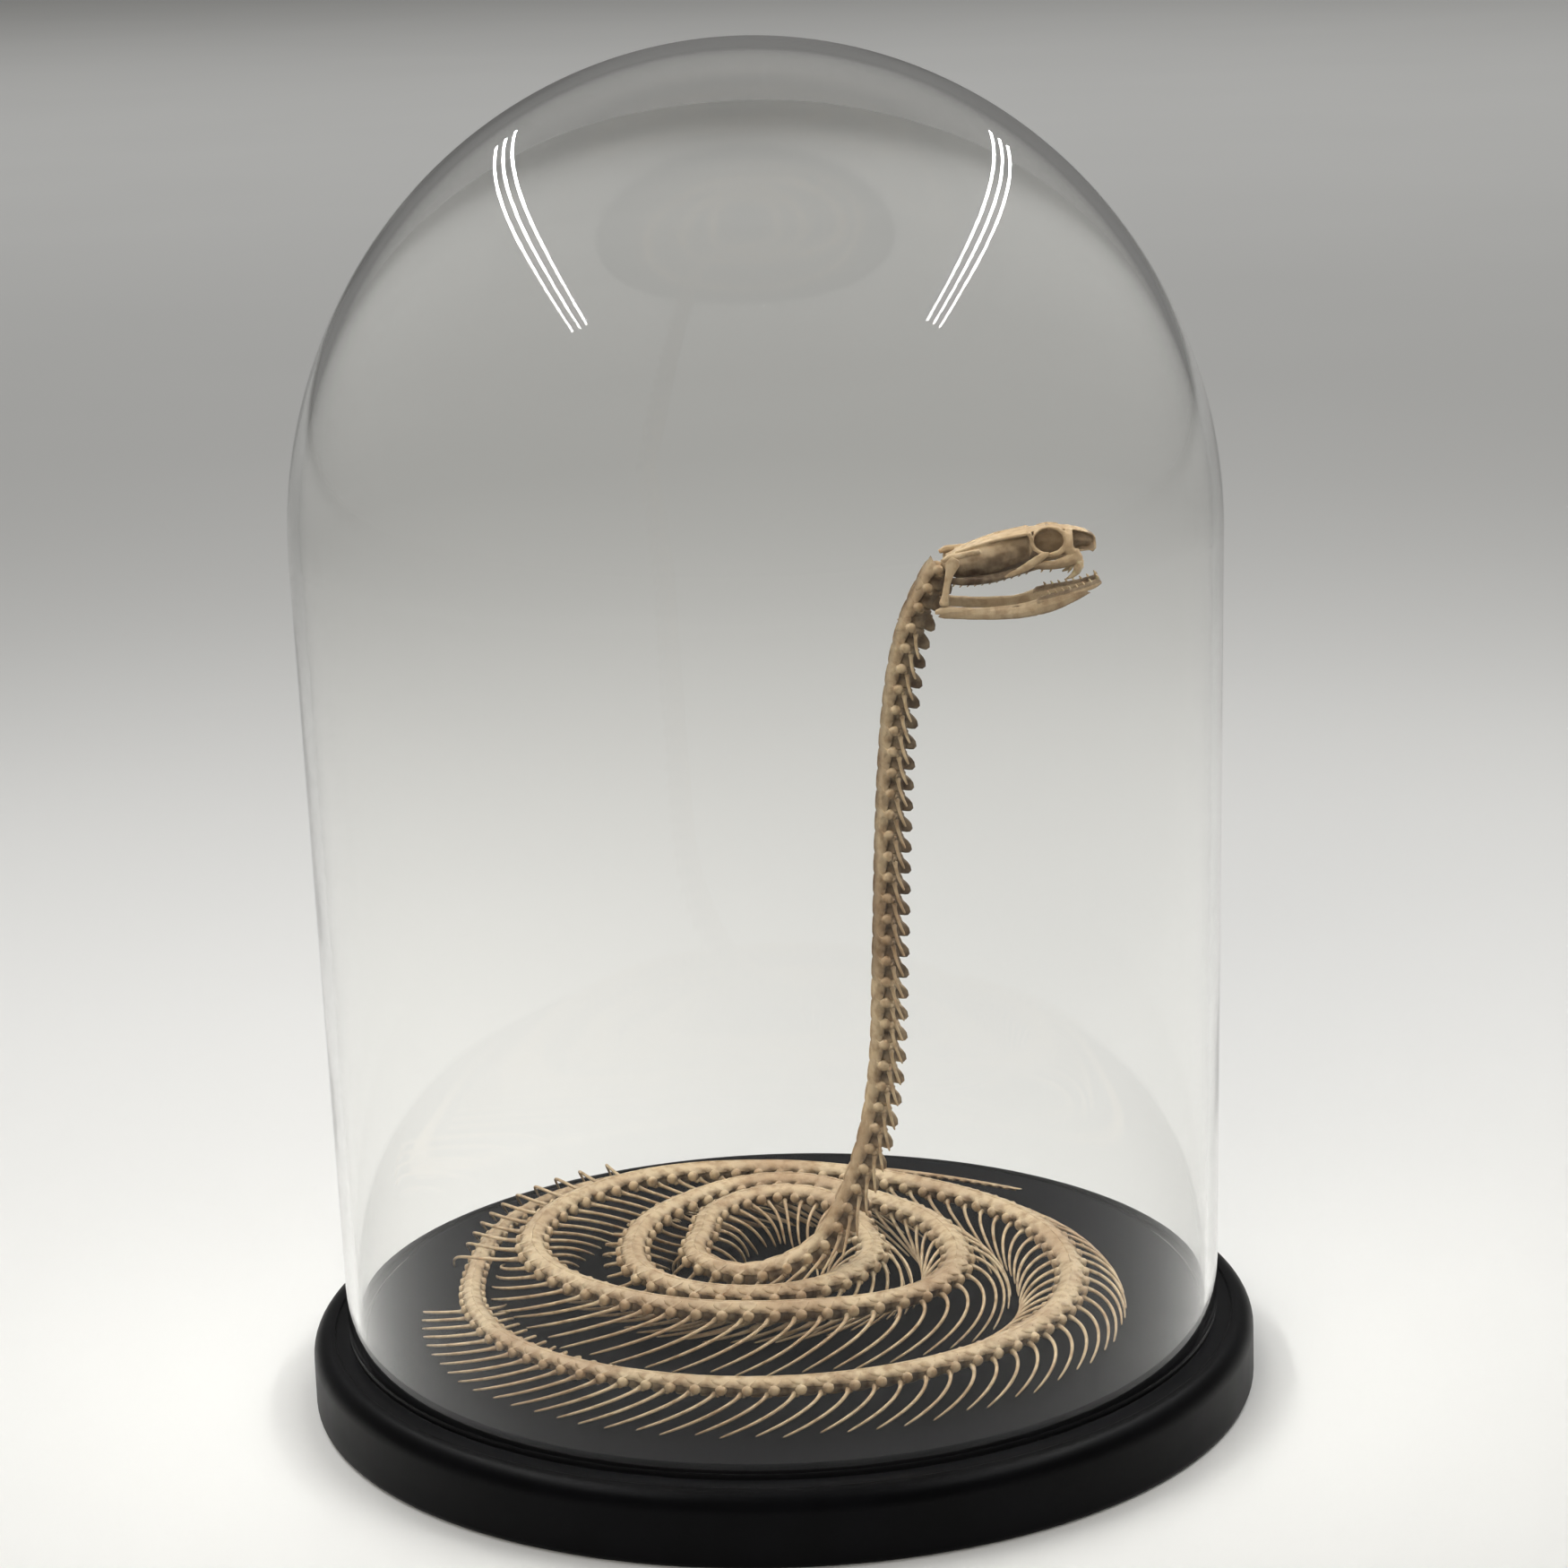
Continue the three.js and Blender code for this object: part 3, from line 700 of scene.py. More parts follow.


# ---- Vertebrae and ribs: heights in the template, and where its stains and painted shade lie ----
SMOOTHING_LOSS = 0.4
ROOF_SLOPE = 0.18
CREST_TOP = 3.6
CREST_FOOT = 1.7
KEEL_TIP = 3.2
KEEL_FOOT = 1.9
HOLLOW_MIDDLE = 0.57
HOLLOW_REACH = 0.26
HOLLOW_TOP = 2
HOLLOW_EDGE = 0.8
# Brown on the neck's crest edge is painted shade; the keel is darker toward its tip.
NECK_CREST_FROM = 2.4
NECK_CREST_FADE = 1.2
NECK_CREST_SHADE = 0.7
NECK_KEEL_FROM = -0.9
NECK_KEEL_FADE = 0.8
NECK_KEEL_DARKNESS = 0.8
RIB_HEAD_STAIN = 0.5
RIB_STAIN_FADE = 3.5
RIB_LEAST_STAIN = 0.06
THINNEST_RIB = 0.55
RIB_THICKENING = 0.45


def vertebra_stain_and_shade(co):
    """Brown on the sunken flanks between two joints and underneath, partly stain and partly painted shade;
    clean on the roof and the joint knobs.
    """
    sunken = clamp(1.5 - abs(co.z - HOLLOW_MIDDLE) / HOLLOW_REACH, 0, 1)
    return clamp((HOLLOW_TOP - co.y) / HOLLOW_EDGE, 0, 1) * sunken


def neck_stain_and_shade(co):
    """The same browned hollows, with the crest's edge browned as painted shade and the keel darker toward its
    tip.
    """
    edge = clamp((co.y - NECK_CREST_FROM) / NECK_CREST_FADE, 0, NECK_CREST_SHADE)
    keel = clamp((NECK_KEEL_FROM - co.y) / NECK_KEEL_FADE, 0, NECK_KEEL_DARKNESS)
    return max(vertebra_stain_and_shade(co), edge, keel)


def vertebra_template(stain_and_shade_rule):
    """One vertebra, x to the right, y up, z tailward as a share of its length: spool-shaped centrum, roofed
    arch, low crest, keel, and on each side the joint's wing and the facet that carries the rib's head."""
    bm = bmesh.new()
    centrum = [
        (0, -0.3, -0.03, 2.7, 2.5), (0, -0.3, 0.25, 2.3, 2.3), (0, -0.3, 0.52, 2.1, 2.2),
        (0, -0.3, 0.78, 2.3, 2.2), (0, -0.3, 1.05, 2.7, 2.5),
    ]
    gather(bm, swept(centrum, (0, 1, 0), 8))
    roof = [
        (0, 1.9, -0.1, 4.3, 1.5), (0, 1.9, 0.15, 4.3, 1.5), (0, 2.1, 0.36, 3.4, 1.3),
        (0, 2.15, 0.6, 3.1, 1.2), (0, 2.1, 0.82, 3.5, 1.3), (0, 1.9, 1.1, 4.3, 1.5),
    ]
    gather(bm, swept(roof, (0, 1, 0), 8), lambda co: Vector((co.x, co.y - ROOF_SLOPE * abs(co.x), co.z)))
    crest = [(0, 2.35, -0.14, 0.8, 1.25), (0, 2.5, 0.5, 0.6, 1.25), (0, 2.45, 1.14, 0.8, 1.25)]
    gather(bm, swept(crest, (0, 1, 0), 4))
    keel = [(0, -1.4, 0.5, 1, 0.66), (0, -2.3, 0.56, 0.95, 0.62), (0, -KEEL_TIP, 0.86, 0.6, 0.3)]
    gather(bm, swept(keel, (0, 0, 1), 4))
    for side in (1, -1):
        knob = [
            (side * 1.6, 0.6, 0.03, 0.28, 1.6), (side * 3.6, 0.4, 0.04, 0.29, 1.9),
            (side * 4.7, 0.2, 0.05, 0.24, 1.5),
        ]
        gather(bm, swept(knob, (0, 1, 0), 6))
        facet = [
            (side * 1.6, -1.2, 0.2, 0.16, 1), (side * 3.2, -1.1, 0.2, 0.15, 0.95),
            (side * 4, -1.1, 0.22, 0.1, 0.6),
        ]
        gather(bm, swept(facet, (0, 1, 0), 5))
    set_stain_and_shade(bm, stain_and_shade_rule)
    return as_template(bm, "vertebra")


def rib_template():
    """A straight bar of unit thickness whose z is the share of the way from head to tip."""
    bm = bar([Matrix.Translation((0, 0, stop)) for stop in RIB_STOPS], RIB_SIDES)
    set_stain_and_shade(bm, lambda co: clamp(RIB_HEAD_STAIN - RIB_STAIN_FADE * co.z, RIB_LEAST_STAIN, 1))
    return as_template(bm, "rib")


def vertebra_placing(vertebra):
    """Rule that carries the template to its place, with the crest and keel drawn out to their own heights."""
    start = vertebra["start"]
    length = vertebra["length"]
    size = vertebra["size"]
    along = SPINE.at(start + length) - SPINE.at(start)
    place = section(SPINE.at(start), along, SPINE.up(start + length / 2), size, size)
    crest = table_value(CREST_HEIGHTS, vertebra["share"]) + SMOOTHING_LOSS
    keel = table_value(KEEL_DEPTHS, vertebra["share"]) + SMOOTHING_LOSS
    rise = (crest - CREST_FOOT) / (CREST_TOP - CREST_FOOT)
    fall = (keel - KEEL_FOOT) / (KEEL_TIP - KEEL_FOOT)

    def move(co):
        y = co.y
        if y > CREST_FOOT:
            y = CREST_FOOT + (y - CREST_FOOT) * rise
        if y < -KEEL_FOOT:
            y = -KEEL_FOOT + (y + KEEL_FOOT) * fall
        return place @ Vector((co.x, y, co.z * length))

    return move


def rib_placing(vertebra, line):
    """Rule that bends the straight rib template onto its line."""
    up = SPINE.up(vertebra["start"])
    thickness = THINNEST_RIB + RIB_THICKENING * vertebra["size"]
    places = {}
    for stop in RIB_STOPS:
        radius = table_value(RIB_PROFILE, stop) * thickness
        along = line(stop + RIB_TANGENT_STEP) - line(stop - RIB_TANGENT_STEP)
        places[round(stop, 3)] = section(line(stop), along, up, radius, radius)

    def move(co):
        return places[round(co.z, 3)] @ Vector((co.x, co.y, 0))

    return move


def spine_length(members, templates, chance):
    """The vertebrae of one length of the spine, with their ribs, some of them worn a little shorter."""
    bm = bmesh.new()
    for vertebra in members:
        kind = "neck" if vertebra["share"] <= NECK_UPPER_SHARE else "trunk"
        gather(bm, templates[kind], vertebra_placing(vertebra))
        if vertebra["index"] < FIRST_RIB or vertebra["angle"] >= TAIL_START:
            continue
        for side in (1, -1):
            kept = 1 - RIB_UNEVENNESS * chance.random()
            whole = rib_line(vertebra, side)
            gather(bm, templates["rib"], rib_placing(vertebra, lambda u: whole(u * kept)))
    return bm


def build_spine(bone):
    """One piece for each length of the spine: name, the angle and the share of the way at which it ends."""
    remaining = vertebrae()
    templates = {
        "neck": vertebra_template(neck_stain_and_shade),
        "trunk": vertebra_template(vertebra_stain_and_shade),
        "rib": rib_template(),
    }
    chance = random.Random(WEAR_SEED)
    cuts = [("neck_upper", 0, NECK_UPPER_SHARE), ("neck_lower", 0, 1)]
    cuts += [(f"trunk_{i + 1:02d}", TRUNK_TURN * (i + 1), 1) for i in range(TRUNK_LENGTHS)]
    cuts += [("tail_front", TAIL_FRONT_END, 1), ("tail_middle", TAIL_MIDDLE_END, 1)]
    cuts += [("tail_tip", COIL_END, 1)]
    for name, last_angle, last_share in cuts:
        members = []
        while remaining and remaining[0]["angle"] <= last_angle and remaining[0]["share"] <= last_share:
            members.append(remaining.pop(0))
        bm = spine_length(members, templates, chance)
        finish_piece(f"{name}_bones", bm, name, [bone], rounding=1)
    for template in templates.values():
        bpy.data.meshes.remove(template)


# ---- Skull: stations are (x forward, y to the left, z up, half width, half height) ----
def skull_piece(name, bars, teeth, node, materials, stain_and_shade_rule):
    """A skull bone: overlapping bars grown into one skin, then its teeth, moved to the skull's place."""
    bm = bmesh.new()
    for part in bars:
        gather(bm, part)
    grown_together(bm, BONE_VOXEL)
    set_stain_and_shade(bm, stain_and_shade_rule)
    for tooth in teeth:
        gather(bm, tooth, finish=TOOTH_FINISH)
    bmesh.ops.translate(bm, vec=SKULL_ORIGIN, verts=bm.verts)
    finish_piece(name, bm, node, materials)


# Where the cranium is browned, in the skull's frame: painted shade on the eye sockets' inner wall and in the
# nose's hollow.
SOCKET_BACK = 21.5
SOCKET_FRONT = 30.6
SOCKET_TOP = 8.2
SOCKET_HALF_WIDTH = 2.8
NOSE_BACK = 31
NOSE_FRONT = 37.8
NOSE_FLOOR = 2.6
NOSE_TOP = 7
NOSE_HALF_WIDTH = 2.6
NOSE_SHADE = 0.7
CLEAN_BONE_STAIN = 0.03


def braincase_shade_and_stain(co):
    """Brown on the low side walls below the roof's edge, darkest behind; in the eye sockets, darker lower
    down, and in the nose the brown is painted shade.
    """
    if SOCKET_BACK < co.x < SOCKET_FRONT and co.z < SOCKET_TOP and abs(co.y) < SOCKET_HALF_WIDTH:
        return 0.3 + 0.12 * (6 - co.z)
    if NOSE_BACK < co.x < NOSE_FRONT and NOSE_FLOOR < co.z < NOSE_TOP and abs(co.y) < NOSE_HALF_WIDTH:
        return NOSE_SHADE
    if co.x < SOCKET_BACK:
        roof = 1.6 + 0.32 * co.x
        return clamp((roof - co.z) * 0.2, 0, 1) * clamp(1.3 - 0.028 * co.x, 0, 1)
    return CLEAN_BONE_STAIN


ORBIT_CENTRE = (26.5, 4.2, 5.4)
ORBIT_RADII = (4.4, 3.3)
ORBIT_LEAN = 1.1


def orbit_rim():
    """The bony ring round the left eye: thin above and behind, broad in front, leaning in toward the roof.
    It runs a little past the full turn, so that its ends overlap."""
    rim = []
    for turn in range(0, 391, 30):
        x = math.cos(math.radians(turn))
        z = math.sin(math.radians(turn))
        thickness = 0.42 + 0.4 * max(x, 0) + 0.2 * max(-z, 0) - 0.12 * max(z, 0)
        rim.append((
            ORBIT_CENTRE[0] + ORBIT_RADII[0] * x,
            ORBIT_CENTRE[1] - ORBIT_LEAN * z,
            ORBIT_CENTRE[2] + ORBIT_RADII[1] * z,
            thickness,
            thickness,
        ))
    return rim


def cranium(materials):
    """On the middle line the braincase, roof, wall between the orbits, snout, its floor and tip, and the
    condyle; on each side the orbit's rim, the bones behind and before the eye, the ear bar and a crest."""
    bars = [
        swept([
            (0.2, 0, 0.2, 1.6, 1.3), (1.6, 0, -0.3, 3.5, 2.7), (4, 0, -0.5, 4.7, 3.8),
            (7.5, 0, -0.1, 5.3, 4.3), (11.5, 0, 0.9, 5.5, 4.9), (15.5, 0, 2.1, 5.1, 4.8),
            (19, 0, 3.1, 4.3, 4.4), (21.5, 0, 3.9, 3.2, 4), (23, 0, 4.3, 2, 3.4),
        ], sides=14),
        swept([
            (0.9, 0, 1.7, 1.6, 0.5), (4, 0, 3.1, 1.9, 0.6), (8.6, 0, 4.6, 2.6, 0.6), (13, 0, 5.8, 3.6, 0.6),
            (17, 0, 6.8, 4.4, 0.6), (20.5, 0, 7.4, 4.6, 0.6), (23, 0, 7.9, 3.2, 0.5), (27, 0, 8.2, 2.6, 0.5),
            (30.5, 0, 8.1, 2.8, 0.5), (32, 0, 7.9, 2.6, 0.45),
        ], sides=10),
        swept([(21, 0, 4.6, 1.3, 3.4), (26, 0, 5, 1, 3.6), (31.5, 0, 5, 1.2, 3.2)], sides=8),
        swept([
            (31, 0, 8, 2.6, 0.45), (33.2, 0, 7.7, 2.5, 0.45), (35.4, 0, 7.1, 2.1, 0.45),
            (37.2, 0, 6.1, 1.5, 0.5), (38, 0, 5, 1.1, 0.5),
        ], sides=8),
        swept([(30.5, 0, 4.8, 1.9, 2.6), (34, 0, 5, 1.8, 2.1), (37, 0, 4.5, 1.2, 1.3)], sides=8),
        swept([(30, 0, 2.1, 2, 0.5), (33.5, 0, 2.2, 2, 0.4), (36.6, 0, 2.6, 1.9, 0.5)], sides=8),
        swept([
            (37.7, 0, 5.2, 1, 0.6), (37.8, 0, 4, 1.1, 0.7), (37.5, 0, 3, 1.7, 1.1), (36.9, 0, 2.2, 2, 1),
        ], up=(1, 0, 0), sides=8),
        swept([(-0.6, 0, -0.1, 1, 0.9), (1, 0, 0, 1.5, 1.2)], sides=8),
    ]
    for side in (1, -1):
        bars.append(swept(mirrored(orbit_rim(), side), up=(0, 1, 0), sides=8))
        bars.append(swept(mirrored([
            (20.8, 3.6, 7.5, 0.8, 0.6), (21.5, 4.6, 7.4, 0.6, 0.7), (21.8, 4.9, 6.5, 0.5, 0.6),
            (22, 5, 4.9, 0.45, 0.5), (22.9, 4.9, 3.1, 0.4, 0.45),
        ], side), up=(1, 0, 0), sides=7))
        bars.append(swept(mirrored([
            (31.4, 2.6, 7.8, 0.7, 1), (31.3, 4, 6.7, 0.8, 1.1), (31.2, 4.7, 5, 0.9, 1.2),
            (31.2, 5, 3.4, 1, 1.4), (31.8, 4.9, 2.5, 1, 1.6), (32.6, 4.7, 2.1, 0.9, 1.4),
        ], side), up=(1, 0, 0), sides=8))
        bars.append(swept(mirrored([
            (-0.6, 6.4, 1.6, 0.6, 0.6), (1.2, 6.2, 2.4, 0.6, 1), (4.5, 5.5, 2.8, 0.6, 0.9),
            (9, 4.6, 3.6, 0.5, 0.6),
        ], side), sides=7))
        bars.append(swept(mirrored([
            (3, 2, 2.9, 0.45, 0.45), (8, 2.9, 4.6, 0.5, 0.5), (13.5, 4, 6.2, 0.55, 0.5),
            (20.6, 4.6, 7.4, 0.6, 0.5),
        ], side), sides=6))
    skull_piece("braincase_and_face", bars, [], "cranium", materials, braincase_shade_and_stain)


def tooth(x, y, z, length, upward=False, width=0.42):
    """A small recurved tooth that leans back toward the throat."""
    way = 1 if upward else -1
    return swept([
        (x + 0.1, y, z, width, width), (x, y, z + way * 0.45 * length, width * 0.8, width * 0.8),
        (x - 0.2 * length, y, z + way * 0.8 * length, width * 0.5, width * 0.5),
        (x - 0.42 * length, y, z + way * length, 0.1, 0.1),
    ], up=(1, 0, 0), sides=6)


def tooth_row(stations, count, first, last, length, upward):
    """Teeth on a bar's centre line from one x to another."""
    row = []
    for i in range(count):
        x = first + (last - first) * i / (count - 1)
        y = table_value([(r[0], r[1]) for r in stations], x)
        z = table_value([(r[0], r[2]) for r in stations], x)
        row.append(tooth(x, y, z, length, upward))
    return row


def maxilla(name, side, materials):
    """Upper jaw bone with its fang, a spare fang behind it and two cheek teeth."""
    bars = [
        swept(mirrored([
            (22, 6, -0.2, 0.6, 0.8), (24.5, 6, -0.4, 0.8, 1.1), (27.5, 5.9, -0.3, 0.9, 1.25),
            (30, 5.6, 0.2, 1, 1.5), (32.4, 5.1, 1, 1, 1.8), (34.2, 4.7, 1.8, 0.7, 1.3),
        ], side)),
        swept(mirrored([
            (32.4, 4.9, 3.2, 0.7, 1.2), (33, 4.9, 1.2, 1, 1.7), (33.4, 5, -0.3, 0.95, 1.5),
        ], side), up=(1, 0, 0)),
    ]
    fang = swept(mirrored([
        (33.5, 5, 0.4, 0.95, 1.35), (33.6, 5, -1, 0.85, 1.25), (33, 5, -2.4, 0.65, 0.95),
        (31.8, 5, -3.5, 0.42, 0.6), (30.3, 5, -4.2, 0.12, 0.16),
    ], side), up=(1, 0, 0), sides=10)
    spare_fang = swept(mirrored([
        (31.9, 5, -0.6, 0.4, 0.5), (31.5, 5, -1.7, 0.3, 0.35), (30.8, 5, -2.6, 0.1, 0.1),
    ], side), up=(1, 0, 0), sides=8)
    cheek_teeth = [tooth(x, side * 5.8, -1.2, 0.9, width=0.34) for x in (24.4, 26.6)]
    skull_piece(
        f"{name}_maxilla_with_fang", bars, [fang, spare_fang, *cheek_teeth], f"maxilla_{name}", materials,
        lambda co: clamp(0.5 - 0.03 * (co.x - 22) - 0.1 * co.z, 0.05, 0.6),
    )


def palate(name, side, materials):
    """Long toothed palate bar, and the branch that ties it to the upper jaw."""
    stations = mirrored([
        (1.4, 5.9, -3.5, 0.5, 0.9), (4.5, 5.6, -3.8, 0.9, 1.1), (8, 5, -3.8, 1.2, 1.2),
        (12, 4.5, -3.5, 1.2, 1.2), (16, 4, -2.7, 1, 1.1), (21, 3.6, -1.5, 0.8, 1),
        (27, 3.1, -0.4, 0.6, 0.65), (31, 2.9, 0.1, 0.4, 0.4),
    ], side)
    branch = mirrored([
        (15, 4.6, -3.2, 0.7, 0.6), (18, 5.4, -2, 0.7, 0.8), (20.4, 5.9, -0.7, 0.7, 1.1),
        (22.6, 6.2, 0.7, 0.7, 1.2), (24.6, 6.2, 2, 0.55, 1), (26.2, 6, 2.7, 0.35, 0.5),
    ], side)
    teeth = tooth_row(stations, 11, 2.5, 21, 1.5, False)
    # Brown on the palate bar, less toward the front, and little on the outer branch: painted shade under the
    # skull.
    skull_piece(
        f"{name}_palate_with_teeth", [swept(stations), swept(branch)], teeth, f"palate_{name}", materials,
        lambda co: clamp(1.5 - 0.04 * co.x, 0.1, 1) if abs(co.y) < 5.3 or co.x < 15 else 0.1,
    )


def quadrate(name, side, materials):
    """Strut that the lower jaw hangs from."""
    bars = [swept(mirrored([
        (2.8, 6.8, 2.3, 0.55, 1.1), (2.1, 7, 1, 0.6, 1.9), (1.2, 7.2, -1.6, 0.6, 1.15),
        (0.5, 7.3, -4.2, 0.7, 0.85), (0.1, 7.35, -6.8, 0.9, 0.95), (-0.3, 7.4, -8.9, 1.2, 1.35),
        (-0.4, 7.4, -9.5, 1, 1.1),
    ], side), up=(1, 0, 0))]
    skull_piece(f"{name}_quadrate", bars, [], f"quadrate_{name}", materials, lambda co: 0.12)


def mandible(name, side, materials):
    """Lower jaw: back bone, tooth-bearing bone, the ridge of tooth sockets and the teeth."""
    stations = mirrored([
        (-2.6, 7.4, -11.1, 0.6, 0.7), (-1.5, 7.4, -11.1, 0.9, 1.2), (-0.3, 7.35, -11, 1.2, 1.6),
        (2.5, 7.2, -11.3, 1, 1.5), (7, 7, -11.7, 0.95, 1.5), (12.3, 6.8, -11.9, 0.95, 1.55),
        (18, 6.6, -11.8, 1, 1.6), (22.5, 6.3, -11.1, 1, 1.8),
    ], side)
    dentary = mirrored([
        (20.5, 6.5, -11.1, 0.8, 1.4), (23.6, 6.2, -10.6, 0.95, 2.1), (26.2, 5.7, -10, 0.95, 2.2),
        (29, 5.2, -9.3, 0.9, 2), (33, 4.2, -8.1, 0.85, 1.6), (37, 3, -6.6, 0.75, 1.2),
        (39.3, 2.1, -5.6, 0.6, 0.7),
    ], side)
    sockets = mirrored([
        (23.6, 6.1, -8.6, 0.5, 0.5), (26, 5.7, -8, 0.5, 0.5), (30, 5, -7.4, 0.5, 0.5),
        (34, 4, -6.6, 0.5, 0.5), (38.6, 2.4, -5.1, 0.4, 0.5),
    ], side)
    teeth = tooth_row(sockets, 7, 26, 36.6, 1.1, True)
    front = table_value([(r[0], r[1]) for r in sockets], 38.4)
    teeth.append(tooth(38.4, front, -4.9, 1.2, True, 0.5))
    # Brown on the front of the jaw above a sloping line: painted shade, as on the jaw's inner side turned
    # from the light; the rest nearly clean.
    skull_piece(
        f"{name}_mandible_with_teeth", [swept(stations), swept(dentary), swept(sockets, sides=6)], teeth,
        f"mandible_{name}", materials,
        lambda co: 0.75 if co.x > 23 and co.z > -8.9 + 0.24 * (co.x - 26) else 0.14,
    )


def build_skull(materials):
    """Cranium, then the four paired bones, left and right."""
    cranium(materials)
    for name, side in (("left", 1), ("right", -1)):
        maxilla(name, side, materials)
        palate(name, side, materials)
        quadrate(name, side, materials)
        mandible(name, side, materials)


# ---- Base, disc and dome ----
def edge_supported(profile, near=0.4, long_run=20):
    """Adds a point close to each end of a long run, so that smooth shading keeps the run flat."""
    points = [profile[0]]
    for before, after in zip(profile, profile[1:]):
        run = math.dist(before, after)
        if run > long_run:
            for share in (near / run, 1 - near / run):
                points.append(tuple(a + (b - a) * share for a, b in zip(before, after)))
        points.append(after)
    return points


def turned(profile):
    """Spins a profile of (radius, height), from the axis back to the axis, into a closed shell."""
    bm = bmesh.new()
    profile = edge_supported(profile)
    verts = [bm.verts.new((radius, 0, height)) for radius, height in profile]
    edges = [bm.edges.new(pair) for pair in zip(verts, verts[1:])]
    bmesh.ops.spin(
        bm, geom=verts + edges, axis=(0, 0, 1), cent=(0, 0, 0), angle=math.tau, steps=TURNED_STEPS,
        use_merge=True,
    )
    bmesh.ops.remove_doubles(bm, verts=bm.verts, dist=SEAM_MERGE)
    bmesh.ops.recalc_face_normals(bm, faces=bm.faces)
    return bm


def arc(centre, radii, first, last, steps):
    """Points on an ellipse's quarter, its angle from the radius axis in degrees."""
    points = []
    for i in range(steps + 1):
        turn = math.radians(first + (last - first) * i / steps)
        points.append((centre[0] + radii[0] * math.cos(turn), centre[1] + radii[1] * math.sin(turn)))
    return points


def build_base(lacquer):
    """Turned base: rounded foot and shoulder, and a low lip round the ledge that the dome stands on."""
    top = BASE_ROUNDING
    foot = BASE_FOOT_ROUNDING
    lip = LIP_ROUNDING
    profile = [
        (0, 0), (BASE_RADIUS - BASE_FOOT_INSET, 0),
        *arc((BASE_RADIUS - foot, foot), (foot, foot), -75, 0, 5),
        *arc((BASE_RADIUS - top, LIP_HEIGHT - top), (top, top), 0, 90, 12),
        *arc((LIP_INNER_RADIUS + lip, LIP_HEIGHT - lip), (lip, lip), 90, 180, 3),
        (LIP_INNER_RADIUS, LEDGE_HEIGHT + LEDGE_CORNER_RISE),
        (LIP_INNER_RADIUS - LEDGE_CORNER_INSET, LEDGE_HEIGHT), (0, LEDGE_HEIGHT),
    ]
    finish_piece("turned_base", turned(profile), "base", [lacquer])


def build_disc(paint):
    """Flat display disc with a small chamfer below and a rounded edge above."""
    bottom = LEDGE_HEIGHT + GAP
    edge = DISC_ROUNDING
    profile = [
        (0, bottom), (DISC_RADIUS - DISC_CHAMFER, bottom), (DISC_RADIUS, bottom + DISC_CHAMFER),
        *arc((DISC_RADIUS - edge, DISC_TOP - edge), (edge, edge), 0, 90, 5), (0, DISC_TOP),
    ]
    finish_piece("painted_disc", turned(profile), "display_disc", [paint])


def build_dome(glass):
    """Thin shell: an inner and an outer half ellipse, each run down to a rounded foot ring."""
    foot = LEDGE_HEIGHT + GAP
    rise = DOME_TOP - DOME_SHOULDER_HEIGHT
    wall = GLASS_THICKNESS
    shoulder = (0, DOME_SHOULDER_HEIGHT)
    outside = arc(shoulder, (DOME_SHOULDER_RADIUS, rise), 0, 90, DOME_STEPS)
    inside = arc(shoulder, (DOME_SHOULDER_RADIUS - wall, rise - wall), 90, 0, DOME_STEPS)
    foot_centre = (DOME_FOOT_RADIUS - wall / 2, foot + DOME_FOOT_ROUNDING)
    foot_ring = arc(foot_centre, (wall / 2, DOME_FOOT_ROUNDING), -180, 0, DOME_FOOT_STEPS)
    outside[-1] = (0, outside[-1][1])
    inside[0] = (0, inside[0][1])
    shell = turned([*inside, *foot_ring, *outside][::-1])
    finish_piece("blown_dome", shell, "glass_dome", [glass])


# ---- Floor, light and camera: places and sizes in metres, power in watts, spread in degrees ----
FLOOR_RADIUS = 14
WORLD_TONE = "#e8e7e4"
WORLD_STRENGTH = 0.25
WARM_WHITE = "#fffaf2"
STRIP_PLACES = (("left", -0.35), ("right", 0.4))
STRIPS_EACH_SIDE = 3
STRIP_SPACING = 0.022
STRIP_DEPTH = 0.19
STRIP_HEIGHT = 0.7
STRIP_LEAN = 0.6
STRIP_SIZE = (0.95, 0.006)


def build_floor():
    """One wide round sheet, which is also the backdrop."""
    bm = bmesh.new()
    bmesh.ops.create_circle(bm, cap_ends=True, segments=96, radius=FLOOR_RADIUS)
    mesh = bpy.data.meshes.new("studio_floor")
    bm.to_mesh(mesh)
    bm.free()
    mesh.materials.append(floor_material())
    floor = bpy.data.objects.new("studio_floor", mesh)
    bpy.context.collection.objects.link(floor)


def add_lamp(name, place, target, size, power, tint="#ffffff"):
    """A soft rectangular lamp at place, turned to target, and not seen through the glass."""
    lamp = bpy.data.lights.new(name, "AREA")
    lamp.shape = "RECTANGLE"
    lamp.size, lamp.size_y = size
    lamp.energy = power
    lamp.color = colour(tint)[:3]
    holder = bpy.data.objects.new(name, lamp)
    holder.location = place
    holder.rotation_euler = (Vector(target) - Vector(place)).to_track_quat("-Z", "Y").to_euler()
    holder.visible_transmission = False
    bpy.context.collection.objects.link(holder)
    return holder


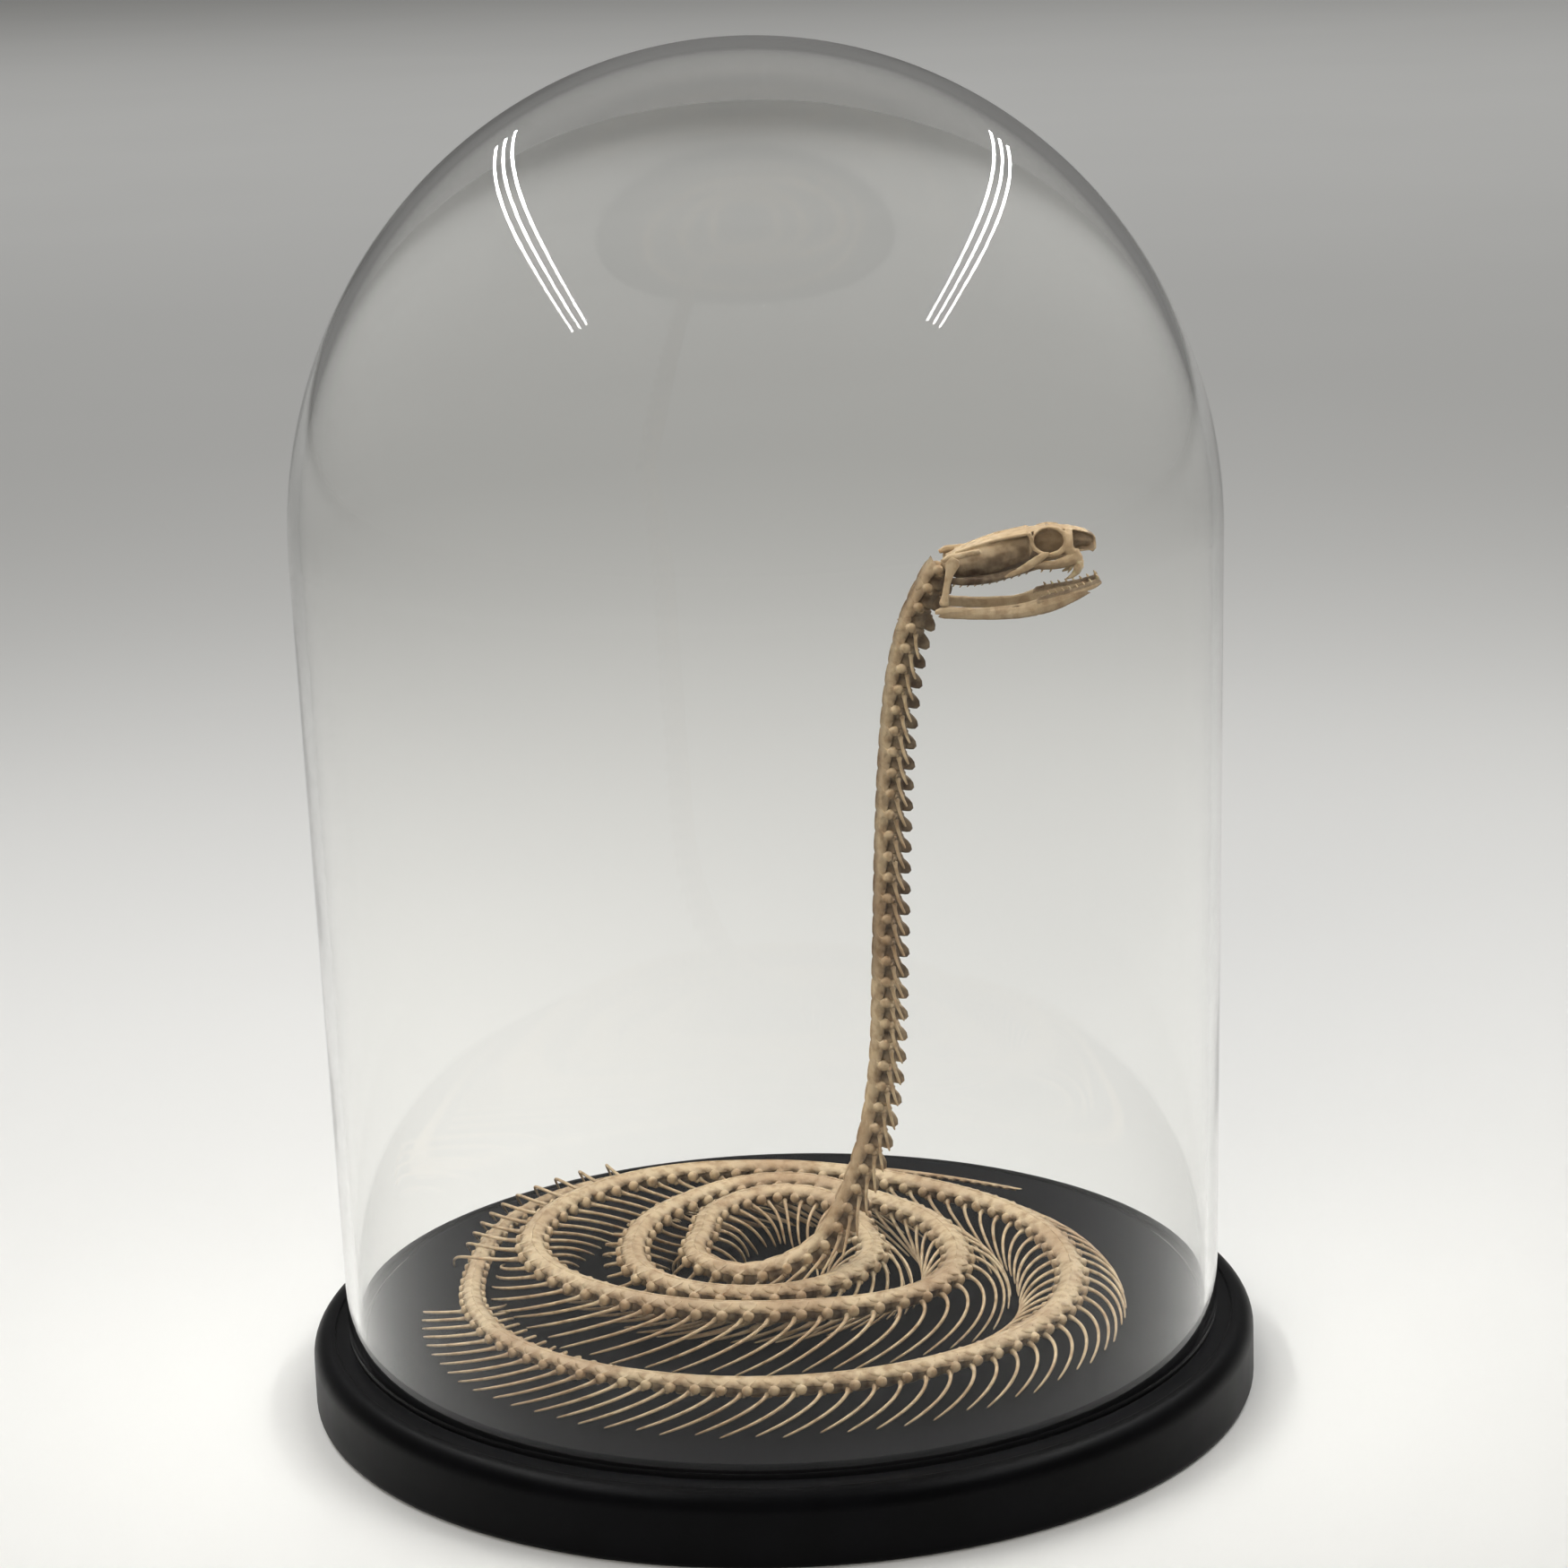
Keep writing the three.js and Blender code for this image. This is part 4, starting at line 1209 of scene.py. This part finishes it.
def build_light():
    """Dim even surroundings, a bank over the floor behind, a soft fill in front and a weak softbox above,
    none of them mirrored, and on each side three narrow strips that draw the bright lines on the dome."""
    world = bpy.data.worlds.new("studio")
    world.use_nodes = True
    surroundings = world.node_tree.nodes["Background"]
    surroundings.inputs["Color"].default_value = colour(WORLD_TONE)
    surroundings.inputs["Strength"].default_value = WORLD_STRENGTH
    bpy.context.scene.world = world
    bpy.context.scene.view_settings.view_transform = "Standard"
    softbox = add_lamp("overhead softbox", (0, 0.1, 0.95), (0, 0.1, 0), (0.4, 0.4), 0.07, WARM_WHITE)
    bank = add_lamp("backdrop bank", (0, 3.8, 3.2), (0, 3.8, 0), (6.5, 4.5), 34)
    fill = add_lamp("front fill", (-0.5, -1.6, 0.95), (0, 0, 0.12), (1.3, 1.3), 2.6, WARM_WHITE)
    for lamp, spread in ((softbox, 44), (bank, 104), (fill, 62)):
        lamp.data.spread = math.radians(spread)
        lamp.visible_glossy = False
    for side, place in STRIP_PLACES:
        for row in range(STRIPS_EACH_SIDE):
            across = place + math.copysign(STRIP_SPACING * row, place)
            above = (across, STRIP_DEPTH, STRIP_HEIGHT)
            below = (across * STRIP_LEAN, STRIP_DEPTH, 0)
            add_lamp(f"{side} strip {row}", above, below, STRIP_SIZE, 1)


# The camera stands in front of the case, higher than the dome's top, and looks down at it: place in
# millimetres, angles in radians, lens in millimetres.
CAMERA_PLACE = (0, -1007.05, 416.77)
CAMERA_PITCH = 0.24853
CAMERA_YAW = 0.0049022
CAMERA_ROLL = -0.03359
CAMERA_LENS = 92.57
SENSOR_WIDTH = 36
VIEW_DEPTH = 60


def build_camera():
    """Long lens, turned slightly about its own axis."""
    camera = bpy.data.cameras.new("camera")
    camera.lens = CAMERA_LENS
    camera.sensor_width = SENSOR_WIDTH
    camera.sensor_fit = "HORIZONTAL"
    camera.clip_end = VIEW_DEPTH
    holder = bpy.data.objects.new("camera", camera)
    look = Vector((
        math.sin(CAMERA_YAW) * math.cos(CAMERA_PITCH),
        math.cos(CAMERA_YAW) * math.cos(CAMERA_PITCH),
        -math.sin(CAMERA_PITCH),
    ))
    level = Vector((math.cos(CAMERA_YAW), -math.sin(CAMERA_YAW), 0))
    above = level.cross(look)
    right = level * math.cos(CAMERA_ROLL) + above * math.sin(CAMERA_ROLL)
    up = above * math.cos(CAMERA_ROLL) - level * math.sin(CAMERA_ROLL)
    turn = Matrix((right, up, -look)).transposed()
    holder.matrix_world = Matrix.Translation(Vector(CAMERA_PLACE) * MM) @ turn.to_4x4()
    bpy.context.collection.objects.link(holder)
    bpy.context.scene.camera = holder


# The brown of both bone materials, laid on per vertex, is partly stain and partly painted shade.
bone = bone_material("dry cleaned bone", "#bfa987", "#a98f6f", "#856744", "#35220f")
skull_bone = bone_material("stained skull bone", "#c9b392", "#b39a77", "#8f7250", "#3d2a18")
enamel = tooth_material()

build_camera()
build_floor()
build_light()
build_base(lacquer_material())
build_disc(disc_material())
build_dome(glass_material())
build_spine(bone)
build_skull([skull_bone, enamel])
